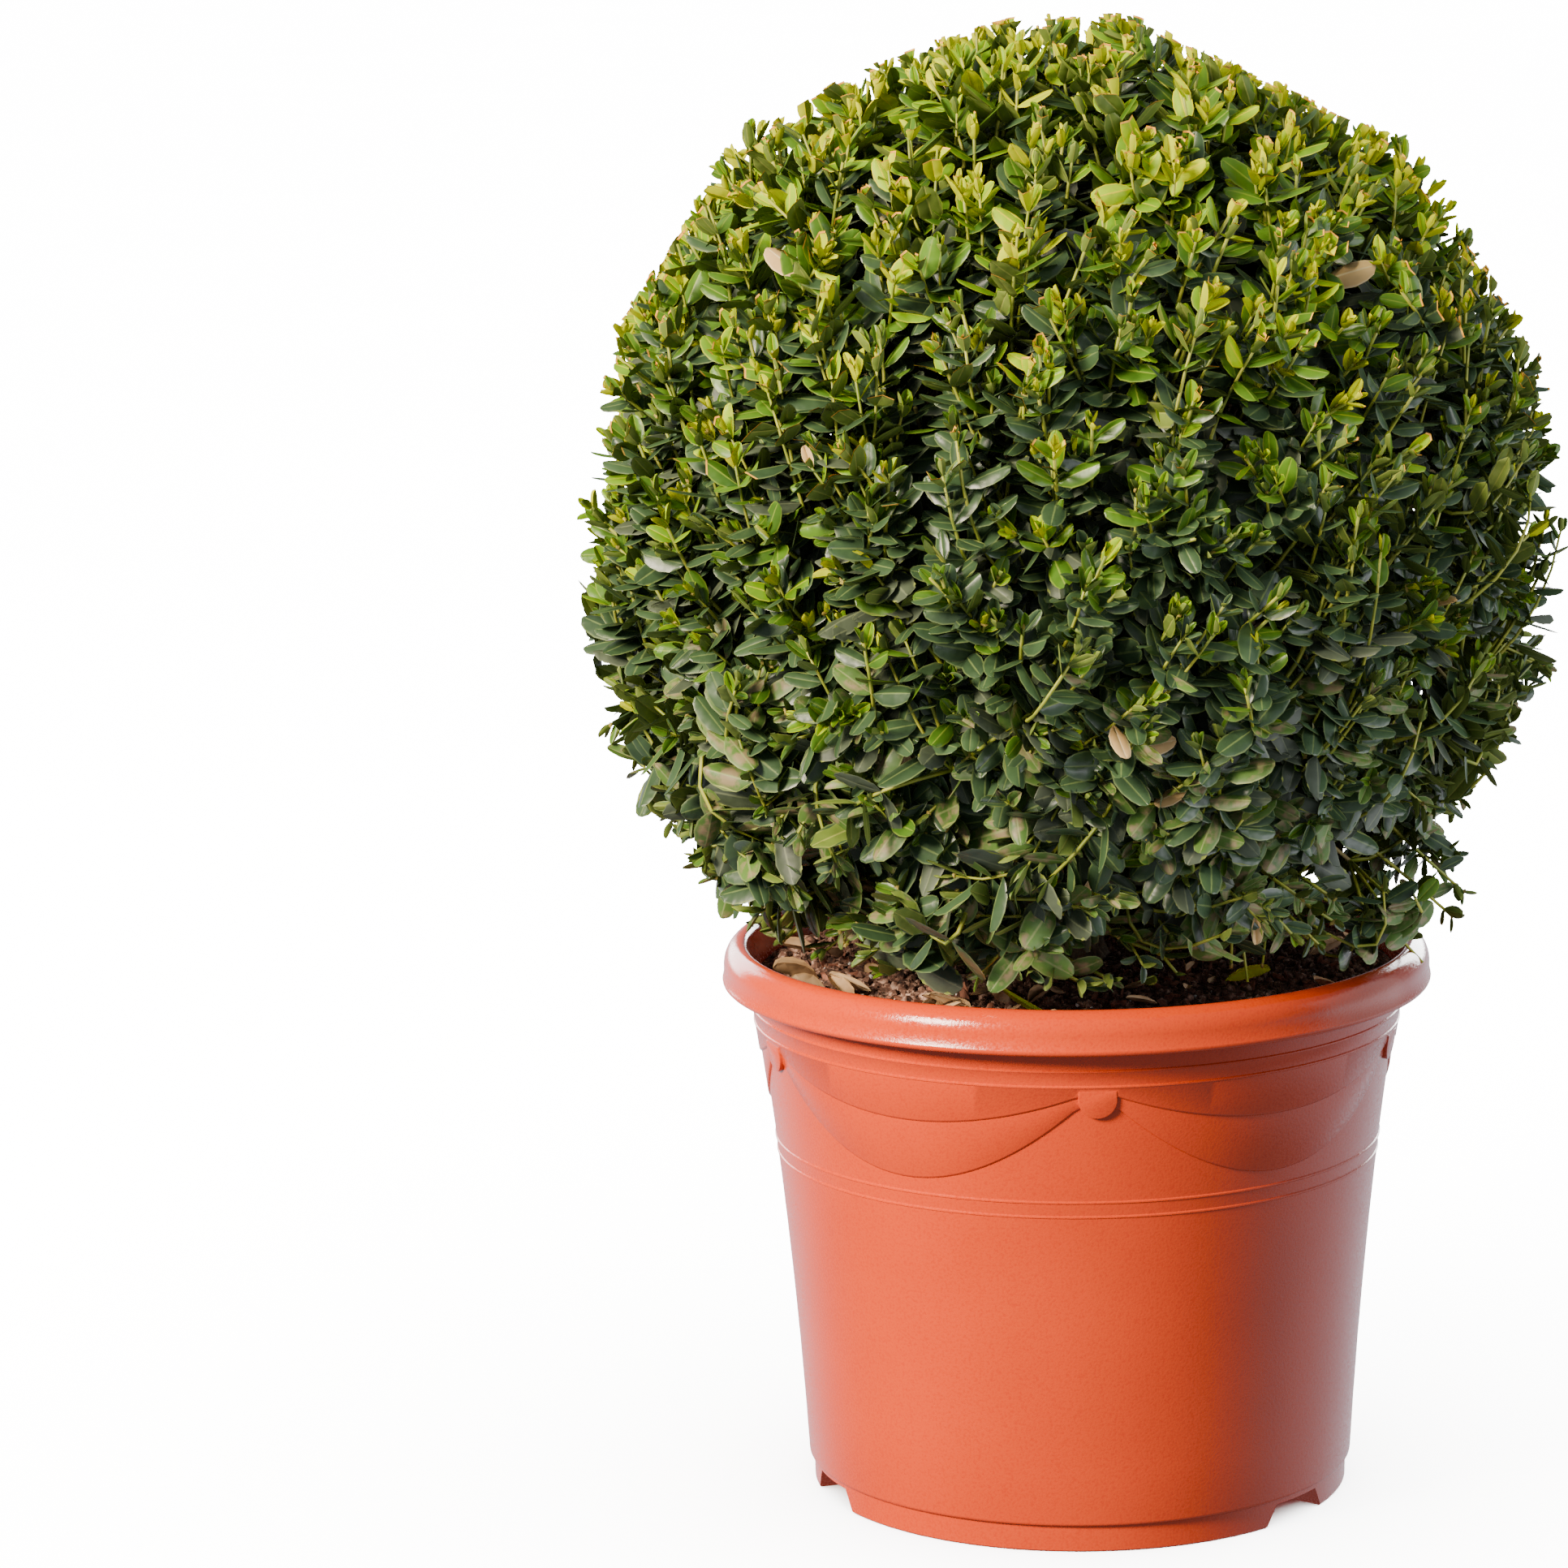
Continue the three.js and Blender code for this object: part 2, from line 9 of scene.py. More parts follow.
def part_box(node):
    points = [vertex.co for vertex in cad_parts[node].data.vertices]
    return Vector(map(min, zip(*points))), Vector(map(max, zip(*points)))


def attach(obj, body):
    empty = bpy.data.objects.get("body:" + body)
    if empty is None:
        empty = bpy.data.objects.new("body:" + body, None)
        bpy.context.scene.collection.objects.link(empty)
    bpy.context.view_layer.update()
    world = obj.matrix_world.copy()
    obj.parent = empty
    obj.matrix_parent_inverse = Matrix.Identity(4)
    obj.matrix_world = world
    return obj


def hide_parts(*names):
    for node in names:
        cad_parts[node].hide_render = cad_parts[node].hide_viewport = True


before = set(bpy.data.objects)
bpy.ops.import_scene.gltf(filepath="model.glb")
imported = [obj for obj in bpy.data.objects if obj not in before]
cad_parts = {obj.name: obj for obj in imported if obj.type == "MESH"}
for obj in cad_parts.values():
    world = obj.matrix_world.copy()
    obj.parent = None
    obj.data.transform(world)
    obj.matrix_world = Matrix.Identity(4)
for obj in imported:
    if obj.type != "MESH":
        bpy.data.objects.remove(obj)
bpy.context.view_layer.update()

# The studio: a warm soft box at the left front lights all, four more light the pot alone and two the
# foliage alone, and faint light comes from all round, most of it low down behind, as over a white table.
# The floor is painted pale and matt. It has a sun of its own and throws no light back on the plant.
camera_distance = 2.669
camera_height = 0.846
camera_pitch = math.radians(10.68)
camera_yaw = math.radians(2.98)
camera_roll = math.radians(-1.0)
focal_length = 130.2  # mm, on a sensor 36 mm wide

camera_data = bpy.data.cameras.new("camera")
camera_data.lens = focal_length
camera_data.sensor_width = 36
camera = bpy.data.objects.new("camera", camera_data)
camera.location = (0, -camera_distance, camera_height)
turned = Matrix.Rotation(camera_yaw, 4, "Z") @ Matrix.Rotation(math.pi / 2 - camera_pitch, 4, "X")
camera.rotation_euler = (turned @ Matrix.Rotation(camera_roll, 4, "Z")).to_euler()
bpy.context.scene.collection.objects.link(camera)
bpy.context.scene.camera = camera


def linear(code):
    """An sRGB hex colour as the linear one that a shader takes."""
    parts = [int(code[i:i + 2], 16) / 255 for i in (1, 3, 5)]
    return [c / 12.92 if c <= 0.04045 else ((c + 0.055) / 1.055) ** 2.4 for c in parts] + [1.0]


def add_node(tree, kind, values=None, links=None, **settings):
    """A node with its settings, the values of its sockets and the sockets that feed it."""
    node = tree.nodes.new("ShaderNode" + kind)
    for name, value in settings.items():
        setattr(node, name, value)
    for name, value in (values or {}).items():
        node.inputs[name].default_value = value
    for name, source in (links or {}).items():
        tree.links.new(source, node.inputs[name])
    return node


def new_material(name):
    """An empty node material."""
    material = bpy.data.materials.new(name)
    material.use_nodes = True
    material.node_tree.nodes.clear()
    return material


def finish_material(material, values, links):
    """The shader of a material, with its sockets, joined to the output."""
    tree = material.node_tree
    shader = add_node(tree, "BsdfPrincipled", values, links)
    add_node(tree, "OutputMaterial", links={"Surface": shader.outputs[0]})
    return material


def ramp(tree, factor, stops):
    """A colour ramp over a factor, from stops of a place and an sRGB hex colour."""
    node = add_node(tree, "ValToRGB", links={"Fac": factor})
    elements = node.color_ramp.elements
    while len(elements) < len(stops):
        elements.new(1)
    for element, (place, colour) in zip(elements, stops):
        element.position = place
        element.color = linear(colour)
    return node.outputs["Color"]


def mottled_material(name, grain, stops, values, detail=2, stretch=(1, 1, 1), relief=None):
    """A material with tones in grains of one size, and with relief of a strength and depth if it has any."""
    material = new_material(name)
    tree = material.node_tree
    place = add_node(tree, "TexCoord").outputs["Object"]
    flow = add_node(tree, "Mapping", {"Scale": stretch}, {"Vector": place}).outputs["Vector"]
    grains = add_node(tree, "TexNoise", {"Scale": 1 / grain, "Detail": detail},
                      {"Vector": flow}).outputs["Fac"]
    links = {"Base Color": ramp(tree, grains, stops)}
    if relief:
        strength, depth = relief
        links["Normal"] = add_node(tree, "Bump", {"Strength": strength, "Distance": depth},
                                   {"Height": grains}).outputs["Normal"]
    return finish_material(material, values, links)


def mesh_object(name, form):
    """An object from a bmesh, linked to the scene."""
    data = bpy.data.meshes.new(name)
    form.to_mesh(data)
    form.free()
    piece = bpy.data.objects.new(name, data)
    bpy.context.scene.collection.objects.link(piece)
    return piece


def add_area_lamp(name, turn, rise, distance, size, power, colour, lit_alone=None):
    """A square lamp that faces the plant, from a turn and a rise in degrees, for one collection or all."""
    lamp = bpy.data.lights.new(name, "AREA")
    lamp.size = size
    lamp.energy = power
    lamp.color = linear(colour)[:3]
    piece = bpy.data.objects.new(name, lamp)
    turn, rise = math.radians(turn), math.radians(rise)
    aim = Vector((math.sin(turn) * math.cos(rise), -math.cos(turn) * math.cos(rise), math.sin(rise)))
    piece.location = Vector((0, 0, 0.36)) + aim * distance
    piece.rotation_euler = aim.to_track_quat("Z", "Y").to_euler()
    bpy.context.scene.collection.objects.link(piece)
    if lit_alone:
        piece.light_linking.receiver_collection = lit_alone


lit_foliage = bpy.data.collections.new("lit_foliage")
lit_pot = bpy.data.collections.new("lit_pot")
add_area_lamp("key_lamp", -48, 25, 2.6, 0.7, 162, "#FFEBD6")
add_area_lamp("pot_key_lamp", -48, 25, 2.6, 0.7, 150, "#FFEBD6", lit_pot)
add_area_lamp("pot_side_lamp", 105, 8, 2.6, 2.0, 14, "#FFF0F0", lit_pot)
add_area_lamp("left_back_lamp", -150, 10, 2.6, 1.2, 45, "#FFFFFF", lit_pot)
add_area_lamp("right_back_lamp", 158, 10, 2.6, 1.2, 80, "#FFFFFF", lit_pot)
add_area_lamp("foliage_left_lamp", -44, 46, 2.4, 0.6, 51, "#FFF2C8", lit_foliage)
add_area_lamp("foliage_right_lamp", 66, 12, 2.4, 2.0, 60, "#F4F0FF", lit_foliage)

even_strength = 0.42  # the world's light from all round, before the part from behind is added
world = bpy.data.worlds.new("studio")
world.use_nodes = True
world_tree = world.node_tree
outward = add_node(world_tree, "TexCoord").outputs["Generated"]
backward = add_node(world_tree, "VectorMath", {1: (0.41, 0.91, 0)}, {0: outward},
                    operation="DOT_PRODUCT").outputs["Value"]
behind = add_node(world_tree, "MapRange", {"From Min": -0.3, "From Max": 0.6, "To Max": 1.0},
                  {"Value": backward}, interpolation_type="SMOOTHSTEP").outputs[0]
climb = add_node(world_tree, "SeparateXYZ", links={0: outward}).outputs["Z"]
from_table = add_node(world_tree, "Math", {1: 0.25}, {0: climb}, operation="ADD").outputs[0]
off_table = add_node(world_tree, "Math", links={0: from_table}, operation="ABSOLUTE").outputs[0]
near_table = add_node(world_tree, "MapRange", {"From Min": 0.1, "From Max": 0.4, "To Min": 1,
                      "To Max": 0}, {"Value": off_table}, interpolation_type="SMOOTHSTEP").outputs[0]
strength = add_node(world_tree, "Math", {2: even_strength}, {0: behind, 1: near_table},
                    operation="MULTIPLY_ADD").outputs[0]
world_tree.nodes["Background"].inputs["Color"].default_value = linear("#F0F0FC")
world_tree.links.new(strength, world_tree.nodes["Background"].inputs["Strength"])
bpy.context.scene.world = world

floor_cloud_size = 2 / 3
floor_half_width = 40
floor_form = bmesh.new()
bmesh.ops.create_grid(floor_form, x_segments=4, y_segments=4, size=floor_half_width)
floor = mesh_object("floor", floor_form)
floor.data.materials.append(mottled_material("pale_floor_paint", floor_cloud_size,
                                             [(0, "#E8E8E7"), (1, "#EEEEED")], {"Roughness": 0.9}))
floor.visible_diffuse = False
floor.visible_glossy = False

lit_floor = bpy.data.collections.new("lit_floor")
lit_floor.objects.link(floor)
floor_light = bpy.data.lights.new("floor_light", "SUN")
floor_light.energy = 60
floor_light.angle = math.radians(120)
floor_light_piece = bpy.data.objects.new("floor_light", floor_light)
floor_light_piece.light_linking.receiver_collection = lit_floor
bpy.context.scene.collection.objects.link(floor_light_piece)

# The pot: injection moulded polypropylene in a terracotta colour, 3 mm thick, with a rolled lip,
# two layers of swags hung from half-round tabs, fine rings, and a foot ring with three notches.
degree = math.pi / 180
mm = 0.001
pot_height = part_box("pot")[1].z
rim_radius = 170 * mm
mouth_radius = 157.5 * mm
lip_height = 20 * mm
wall_foot_radius = 131.7 * mm
wall_taper = 0.056
wall_flare = 0.19  # per metre of height
wall_thickness = 3 * mm
foot_height = 13 * mm
foot_radius = 129.2 * mm
foot_width = 16 * mm
floor_under = 11 * mm
floor_top = 14 * mm
layer_step = 1.1 * mm
swag_turn = 3.6  # degrees from the front to the nearest tab
swag_count = 5
tab_radius = 9 * mm
tab_depth = 4 * mm
ring_heights = [165.6 * mm, 172.7 * mm, 229.5 * mm, 237 * mm]
upper_swag_height = 224.6 * mm
lower_swag_height = 219 * mm
upper_swag_sag = 15.7 * mm
lower_swag_sag = 38.5 * mm
inner_row_heights = [40, 70, 100, 130, 160, 190, 220]
pot_steps = 270
notch_count = 3
notch_turn = 53  # degrees from the front to the first notch
notch_top_width = 32 * mm
notch_foot_width = 47 * mm
hole_count = 6
hole_turn = 30  # degrees from the front to the first drainage hole
hole_radius = 6 * mm
hole_distance = 85 * mm


def wall_radius(height):
    """The plain outer wall's radius at a height: the wall opens out more the higher it is."""
    rise = height - foot_height
    return wall_foot_radius + (wall_taper + wall_flare * rise) * rise


def wall_rows(heights, inset):
    """Profile rows on the plain wall, at heights in millimetres."""
    return [(wall_radius(height * mm) - inset, height * mm) for height in heights]


def arc(radius, height, across, along, start, end, steps):
    """Profile points on a stretch of an ellipse, with angles in degrees."""
    angles = [(start + (end - start) * i / steps) * degree for i in range(steps + 1)]
    return [(radius + across * math.cos(a), height + along * math.sin(a)) for a in angles]


def ring_line(height, standing):
    """A fine raised ring on the wall, over the layers that stand out there."""
    rise = 0.45 * mm
    rows = [(-0.75 * mm, 0), (-0.35 * mm, rise), (0.25 * mm, rise), (0.75 * mm, 0)]
    return [(wall_radius(height) + standing + out, height + step) for step, out in rows]


def swag_edge(height, sag, standing):
    """The rounded edge of a layer that hangs as a swag, one step out over the layer under it."""
    foot, top = wall_radius(height) + standing, wall_radius(height) + standing + layer_step
    rows = [(foot, -0.5), (foot + 0.25 * layer_step, -0.4), (top - 0.2 * layer_step, 0.3), (top, 0.6)]
    return [(radius, height + step * mm, sag) for radius, step in rows]


def pot_profile():
    """Rows of radius, height and sag, from the middle of the underside round to the floor inside."""
    lip_foot = pot_height - lip_height
    lip_middle = lip_foot + lip_height / 3
    edge_radius = 2.2 * mm
    face_radius = rim_radius - 0.7 * mm
    lip_top_radius = mouth_radius + 3 * mm
    outer = 2 * layer_step
    return [
        (0, floor_under),
        (foot_radius - foot_width, floor_under),
        (foot_radius - foot_width, 0.8 * mm),
        (foot_radius - foot_width + 0.8 * mm, 0),
        (foot_radius - 0.8 * mm, 0),
        (foot_radius, 0.8 * mm),
        (foot_radius + 0.3 * mm, foot_height),
        *arc(wall_foot_radius - 1.6 * mm, foot_height + 1.8 * mm, 1.7 * mm, 1.8 * mm, -90, 0, 4),
        *wall_rows([40, 70, 100, 130, 155], 0),
        *ring_line(ring_heights[0], 0),
        *ring_line(ring_heights[1], 0),
        *swag_edge(lower_swag_height, lower_swag_sag, 0),
        *swag_edge(upper_swag_height, upper_swag_sag, layer_step),
        *ring_line(ring_heights[2], outer),
        *ring_line(ring_heights[3], outer),
        (wall_radius(lip_foot) + outer - 0.4 * mm, lip_foot - 0.4 * mm),
        (wall_radius(lip_foot) + outer + 0.3 * mm, lip_foot + 0.1 * mm),
        *arc(rim_radius - edge_radius, lip_foot + edge_radius, edge_radius, edge_radius, -90, 0, 5),
        (rim_radius - 0.1 * mm, lip_foot + edge_radius + 0.6 * mm),
        (face_radius, lip_foot + edge_radius + 1.4 * mm),
        *arc(lip_top_radius, lip_middle + 2 * mm, face_radius - lip_top_radius,
             pot_height - lip_middle - 2 * mm, 5, 90, 12),
        *arc(lip_top_radius, pot_height - 4 * mm, lip_top_radius - mouth_radius, 4 * mm, 110, 180, 5),
        (wall_radius(lip_foot) - wall_thickness, lip_foot),
        *wall_rows(inner_row_heights[::-1], wall_thickness),
        (wall_radius(floor_top + 2 * mm) - wall_thickness, floor_top + 2 * mm),
        (wall_radius(floor_top) - wall_thickness - 2 * mm, floor_top),
        (0, floor_top),
    ]


def swag_share(turn):
    """How far along its sag a swag hangs at a turn in degrees, from 0 at a tab to 1 midway."""
    span = 360 / swag_count
    tab_half_turn = tab_radius / wall_radius(upper_swag_height) / degree
    from_tab = min(turn % span, span - turn % span)
    from_middle = 1 - max(from_tab - tab_half_turn, 0) / (span / 2 - tab_half_turn)
    return 1 - from_middle ** 2


def spun(profile, steps):
    """A closed shell turned from profile rows about the plant's axis."""
    shell = bmesh.new()
    row = [shell.verts.new((radius, 0, height)) for radius, height, *_ in profile]
    edges = [shell.edges.new(pair) for pair in zip(row, row[1:])]
    bmesh.ops.spin(shell, geom=row + edges, axis=(0, 0, 1), cent=(0, 0, 0), steps=steps,
                   angle=2 * math.pi, use_merge=True)
    bmesh.ops.remove_doubles(shell, verts=shell.verts, dist=1e-6)
    bmesh.ops.recalc_face_normals(shell, faces=shell.faces)
    return shell


def hang_swags(shell, profile):
    """Lowers the rows that draw the swags, and narrows them as the wall narrows."""
    sags = {round(row[1] * 1e7): row[2] for row in profile if len(row) == 3}
    for vertex in shell.verts:
        sag = sags.get(round(vertex.co.z * 1e7), 0)
        if sag:
            turn = math.degrees(math.atan2(vertex.co.x, -vertex.co.y)) - swag_turn
            drop = sag * swag_share(turn)
            radius = vertex.co.xy.length
            narrowing = wall_radius(vertex.co.z) - wall_radius(vertex.co.z - drop)
            vertex.co.xy *= (radius - narrowing) / radius
            vertex.co.z -= drop


def finish_piece(piece, material, body="root"):
    """Gives a piece its one material, and lets it ride on the plant's one body."""
    piece.data.materials.clear()
    piece.data.materials.append(material)
    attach(piece, body)


def tab_form():
    """One half-round tab with a softened front edge, upright at the origin and facing the front."""
    form = bmesh.new()
    bmesh.ops.create_circle(form, cap_ends=True, segments=36, radius=tab_radius)
    for vertex in form.verts:
        if vertex.co.y > 0:
            vertex.co.y = tab_radius / 2
    grown = bmesh.ops.extrude_face_region(form, geom=form.faces[:])
    front = [item for item in grown["geom"] if isinstance(item, bmesh.types.BMVert)]
    bmesh.ops.translate(form, verts=front, vec=(0, 0, tab_depth))
    rim = [edge for edge in form.edges if all(vertex in front for vertex in edge.verts)]
    bmesh.ops.bevel(form, geom=rim, offset=0.5 * mm, offset_type="OFFSET", segments=2, profile=0.5,
                    affect="EDGES", material=-1)
    bmesh.ops.recalc_face_normals(form, faces=form.faces)
    return form


def notch_form():
    """The wedge that opens one notch in the foot, pointing out from the axis to the front."""
    form = bmesh.new()
    bmesh.ops.create_cube(form, size=1)
    depth = foot_width + 12 * mm
    for vertex in form.verts:
        high = vertex.co.z > 0
        vertex.co.x *= notch_top_width if high else notch_foot_width
        vertex.co.y = -foot_radius - 4 * mm if vertex.co.y < 0 else -foot_radius - 4 * mm + depth
        vertex.co.z = foot_height - 2.5 * mm if high else -2 * mm
    return form


def hole_form():
    """One drainage hole's core, over the floor at the front."""
    form = bmesh.new()
    bmesh.ops.create_cone(form, cap_ends=True, segments=32, radius1=hole_radius, radius2=hole_radius,
                          depth=20 * mm, matrix=Matrix.Translation((0, -hole_distance, foot_height)))
    return form


def smooth(piece, corners=None):
    """Shades a piece's faces smooth: all of them, or those with so many corners."""
    for face in piece.data.polygons:
        face.use_smooth = corners in (None, len(face.vertices))


def cut_and_join(piece, others, operation):
    """The piece with other objects joined to it or cut out of it, and those removed."""
    for other in others:
        change = piece.modifiers.new("shape", "BOOLEAN")
        change.operation = operation
        change.solver = "EXACT"
        change.object = other
    bpy.context.view_layer.update()
    graph = bpy.context.evaluated_depsgraph_get()
    data = bpy.data.meshes.new_from_object(piece.evaluated_get(graph))
    piece.modifiers.clear()
    piece.data = data
    for other in others:
        bpy.data.objects.remove(other)


def around(form_maker, name, count, first_turn, place=Matrix.Identity(4)):
    """Copies of a form set evenly round the axis, as objects."""
    pieces = []
    for i in range(count):
        form = form_maker()
        turn = Matrix.Rotation((first_turn + 360 * i / count) * degree, 4, "Z")
        bmesh.ops.transform(form, matrix=turn @ place, verts=form.verts)
        pieces.append(mesh_object(name, form))
    return pieces


profile = pot_profile()
pot_shell = spun(profile, pot_steps)
hang_swags(pot_shell, profile)
pot = mesh_object("nursery_pot", pot_shell)
tab_height = upper_swag_height - 1 * mm
tab_front = wall_radius(tab_height) + 2 * layer_step + 0.1 * mm
tab_place = Matrix.Translation((0, tab_depth - tab_front, tab_height))
wall_slope = wall_taper + 2 * wall_flare * (tab_height - foot_height)
tab_lean = Matrix.Rotation(math.pi / 2 + math.atan(wall_slope), 4, "X")
cut_and_join(pot, around(tab_form, "tab", swag_count, swag_turn, tab_place @ tab_lean), "UNION")
notches = around(notch_form, "notch", notch_count, notch_turn)
cut_and_join(pot, notches + around(hole_form, "hole", hole_count, hole_turn), "DIFFERENCE")
smooth(pot)
pot.data.set_sharp_from_angle(angle=40 * degree)

# The plastic is satin: a broad soft sheen, faint clouds in the colour and a fine moulded grain. Hands have
# rubbed the lip smoother.
cloud_size = 71.4 * mm
grain_size = 1.25 * mm
pot_material = new_material("moulded_terracotta_polypropylene")
tree = pot_material.node_tree
place = add_node(tree, "TexCoord").outputs["Object"]
cloud, speckle = (add_node(tree, "TexNoise", {"Scale": 1 / size, "Detail": detail},
                           {"Vector": place}).outputs["Fac"]
                  for size, detail in ((cloud_size, 3), (grain_size, 2)))
tone = ramp(tree, cloud, [(0.3, "#B53705"), (0.7, "#BD3B08")])
spots = ramp(tree, speckle, [(0.3, "#C94A20"), (0.5, "#FFFFFF")])
colour = add_node(tree, "Mix", {0: 0.25}, {6: tone, 7: spots}, data_type="RGBA",
                  blend_type="MULTIPLY").outputs[2]
height = add_node(tree, "SeparateXYZ", links={0: place}).outputs["Z"]
wear = add_node(tree, "MapRange", {"From Min": pot_height - lip_height, "From Max": pot_height,
                "To Min": 1.0, "To Max": 0.5}, {"Value": height}).outputs[0]
gloss = add_node(tree, "MapRange", {"From Min": 0.35, "From Max": 0.65, "To Min": 0.16,
                 "To Max": 0.34}, {"Value": speckle}).outputs[0]
gloss = add_node(tree, "Math", links={0: gloss, 1: wear}, operation="MULTIPLY").outputs[0]
grain = add_node(tree, "Bump", {"Strength": 0.36, "Distance": 0.00025},
                 {"Height": speckle}).outputs["Normal"]
finish_material(pot_material, {"IOR": 1.49},
                {"Base Color": colour, "Roughness": gloss, "Normal": grain})
finish_piece(pot, pot_material)
lit_pot.objects.link(pot)
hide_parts("pot")

# The compost: moist dark peat and bark that fills the pot to 15 mm under the lip, with crumbs, bits
# of bark, white grit and the dry leaves that the shrub has shed.
soil_edge_height = 252 * mm
soil_rise = 4 * mm
compost_side_top = 245 * mm
soil_radius = wall_radius(soil_edge_height) - wall_thickness - 0.3 * mm
trunk_seat_radius = 23 * mm
lump_waves = [(45, 1.6), (120, 1.3), (330, 0.9)]  # waves a metre, and their height in millimetres
random = np.random.default_rng(20)


def soil_height(radius):
    """The compost's level at a radius, before its lumps."""
    share = np.maximum(radius - trunk_seat_radius, 0) / (soil_radius - trunk_seat_radius)
    return soil_edge_height + soil_rise * (1 - share ** 2)


def lumpy(x, y):
    """How far the compost's lumps stand at a place."""
    spot = Vector((x, y, 0))
    return sum(noise.noise(spot * pace) * rise for pace, rise in lump_waves) * mm


def compost_form():
    """The filled body of compost, with its top lumpy."""
    bottom = floor_top + 0.3 * mm
    inset = wall_thickness + 0.3 * mm
    rows = [(0, bottom), (wall_radius(bottom) - inset - 2 * mm, bottom)]
    rows += wall_rows([bottom / mm + 2, *inner_row_heights, compost_side_top / mm], inset)
    radii = np.linspace(soil_radius - 0.2 * mm, 0, 70)
    rows += [(radius, float(soil_height(radius)) - 1 * mm) for radius in radii]
    form = spun(rows, 220)
    for vertex in form.verts:
        radius = vertex.co.xy.length
        if vertex.co.z > compost_side_top + 0.5 * mm and radius < soil_radius - 1 * mm:
            vertex.co.z += lumpy(vertex.co.x, vertex.co.y)
    return form


compost_material = mottled_material(
    "moist_peat_and_bark_compost", 3.846 * mm, [(0.34, "#38261E"), (0.53, "#7E5A48"), (0.7, "#DCB8A0")],
    {"Roughness": 0.85}, detail=4, relief=(0.9, 1.2 * mm))
compost = mesh_object("compost", compost_form())
smooth(compost)
finish_piece(compost, compost_material)
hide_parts("soil")


def joined_piece(name, points, faces, is_smooth=True, on_leaf=None):
    """One object from an array of points and arrays of faces, with the points' places on a leaf if any."""
    data = bpy.data.meshes.new(name)
    data.vertices.add(len(points))
    data.vertices.foreach_set("co", np.asarray(points, np.float32).ravel())
    sizes = np.concatenate([np.full(len(rows), rows.shape[1]) for rows in faces])
    corners = np.concatenate([rows.ravel() for rows in faces])
    data.loops.add(len(corners))
    data.loops.foreach_set("vertex_index", corners.astype(np.int32))
    data.polygons.add(len(sizes))
    data.polygons.foreach_set("loop_start", (np.cumsum(sizes) - sizes).astype(np.int32))
    data.update(calc_edges=True)
    data.polygons.foreach_set("use_smooth", np.full(len(sizes), is_smooth))
    if on_leaf is not None:
        attribute = data.attributes.new("on_leaf", "FLOAT_VECTOR", "POINT")
        attribute.data.foreach_set("vector", on_leaf.astype(np.float32).ravel())
    piece = bpy.data.objects.new(name, data)
    bpy.context.scene.collection.objects.link(piece)
    return piece


def unit(vectors):
    """Vectors in rows, each made one long."""
    return vectors / np.maximum(np.linalg.norm(vectors, axis=-1, keepdims=True), 1e-12)


def square_to(axes, vectors):
    """Vectors in rows without their parts along axes, each made one long."""
    return unit(vectors - np.sum(vectors * axes, -1, keepdims=True) * axes)


def lump_rows(name, places, sizes, material):
    """Many small angular lumps as one piece, each turned and stretched its own way."""
    base = bmesh.new()
    bmesh.ops.create_icosphere(base, subdivisions=1, radius=1)
    corners = np.array([vertex.co[:] for vertex in base.verts])
    faces = np.array([[vertex.index for vertex in face.verts] for face in base.faces])
    base.free()
    count, corner_count = len(places), len(corners)
    axes = unit(random.normal(size=(count, 3)))
    others = unit(np.cross(axes, random.normal(size=(count, 3))))
    frames = np.stack([axes, others, np.cross(axes, others)], 1)
    shapes = corners * random.uniform(0.75, 1.25, (count, corner_count, 1)) * sizes[:, None, :]
    points = places[:, None, :] + np.einsum("nki,nij->nkj", shapes, frames)
    rows = faces[None] + corner_count * np.arange(count)[:, None, None]
    piece = joined_piece(name, points.reshape(-1, 3), [rows.reshape(-1, 3)], is_smooth=False)
    finish_piece(piece, material)


def soil_places(count, lift, spots=None):
    """Places on the compost, lifted a little: at random, or where the spots say."""
    radius = np.sqrt(random.uniform(0.02, 0.98, count)) * (soil_radius - 3 * mm)
    turn = random.uniform(0, 2 * math.pi, count)
    x, y = radius * np.cos(turn), radius * np.sin(turn)
    if spots:
        x, y = np.array(spots).T * mm
        radius = np.hypot(x, y)
    lumps = np.array([lumpy(*spot) for spot in zip(x, y)])
    return np.stack([x, y, soil_height(radius) - 1 * mm + lumps + lift], 1)


crumb_count, bark_count, grit_count = 3400, 260, 90
crumb_lift, bark_lift, grit_lift = 0.4 * mm, 1.2 * mm, 1.0 * mm
crumb_sizes = random.uniform(0.8, 3.2, (crumb_count, 1)) * random.uniform(0.7, 1.2, (crumb_count, 3)) * mm
lump_rows("compost_crumbs", soil_places(crumb_count, crumb_lift), crumb_sizes, compost_material)
bark_sizes = random.uniform(1.2, 2.6, (bark_count, 1)) * np.array([2.6, 1.0, 0.45]) * mm

# The bits in the compost: shredded pine bark, red-brown and dull, and expanded mineral grit, dull white.
# Both were mixed in when the compost was made, and some of each has come to the top.
bark_bit_material = mottled_material("shredded_pine_bark", 4.545 * mm, [(0.3, "#5E3226"), (0.7, "#B47A5E")],
                                     {"Roughness": 0.8}, detail=3)
lump_rows("bark_bits", soil_places(bark_count, bark_lift), bark_sizes, bark_bit_material)
grit_material = mottled_material("expanded_white_grit", 2 * mm, [(0.3, "#B8B2A6"), (0.6, "#EFEDE6")],
                                 {"Roughness": 0.9})
grit_sizes = random.uniform(0.5, 1.2, (grit_count, 1)) * np.ones((1, 3)) * mm
lump_rows("white_grit", soil_places(grit_count, grit_lift), grit_sizes, grit_material)

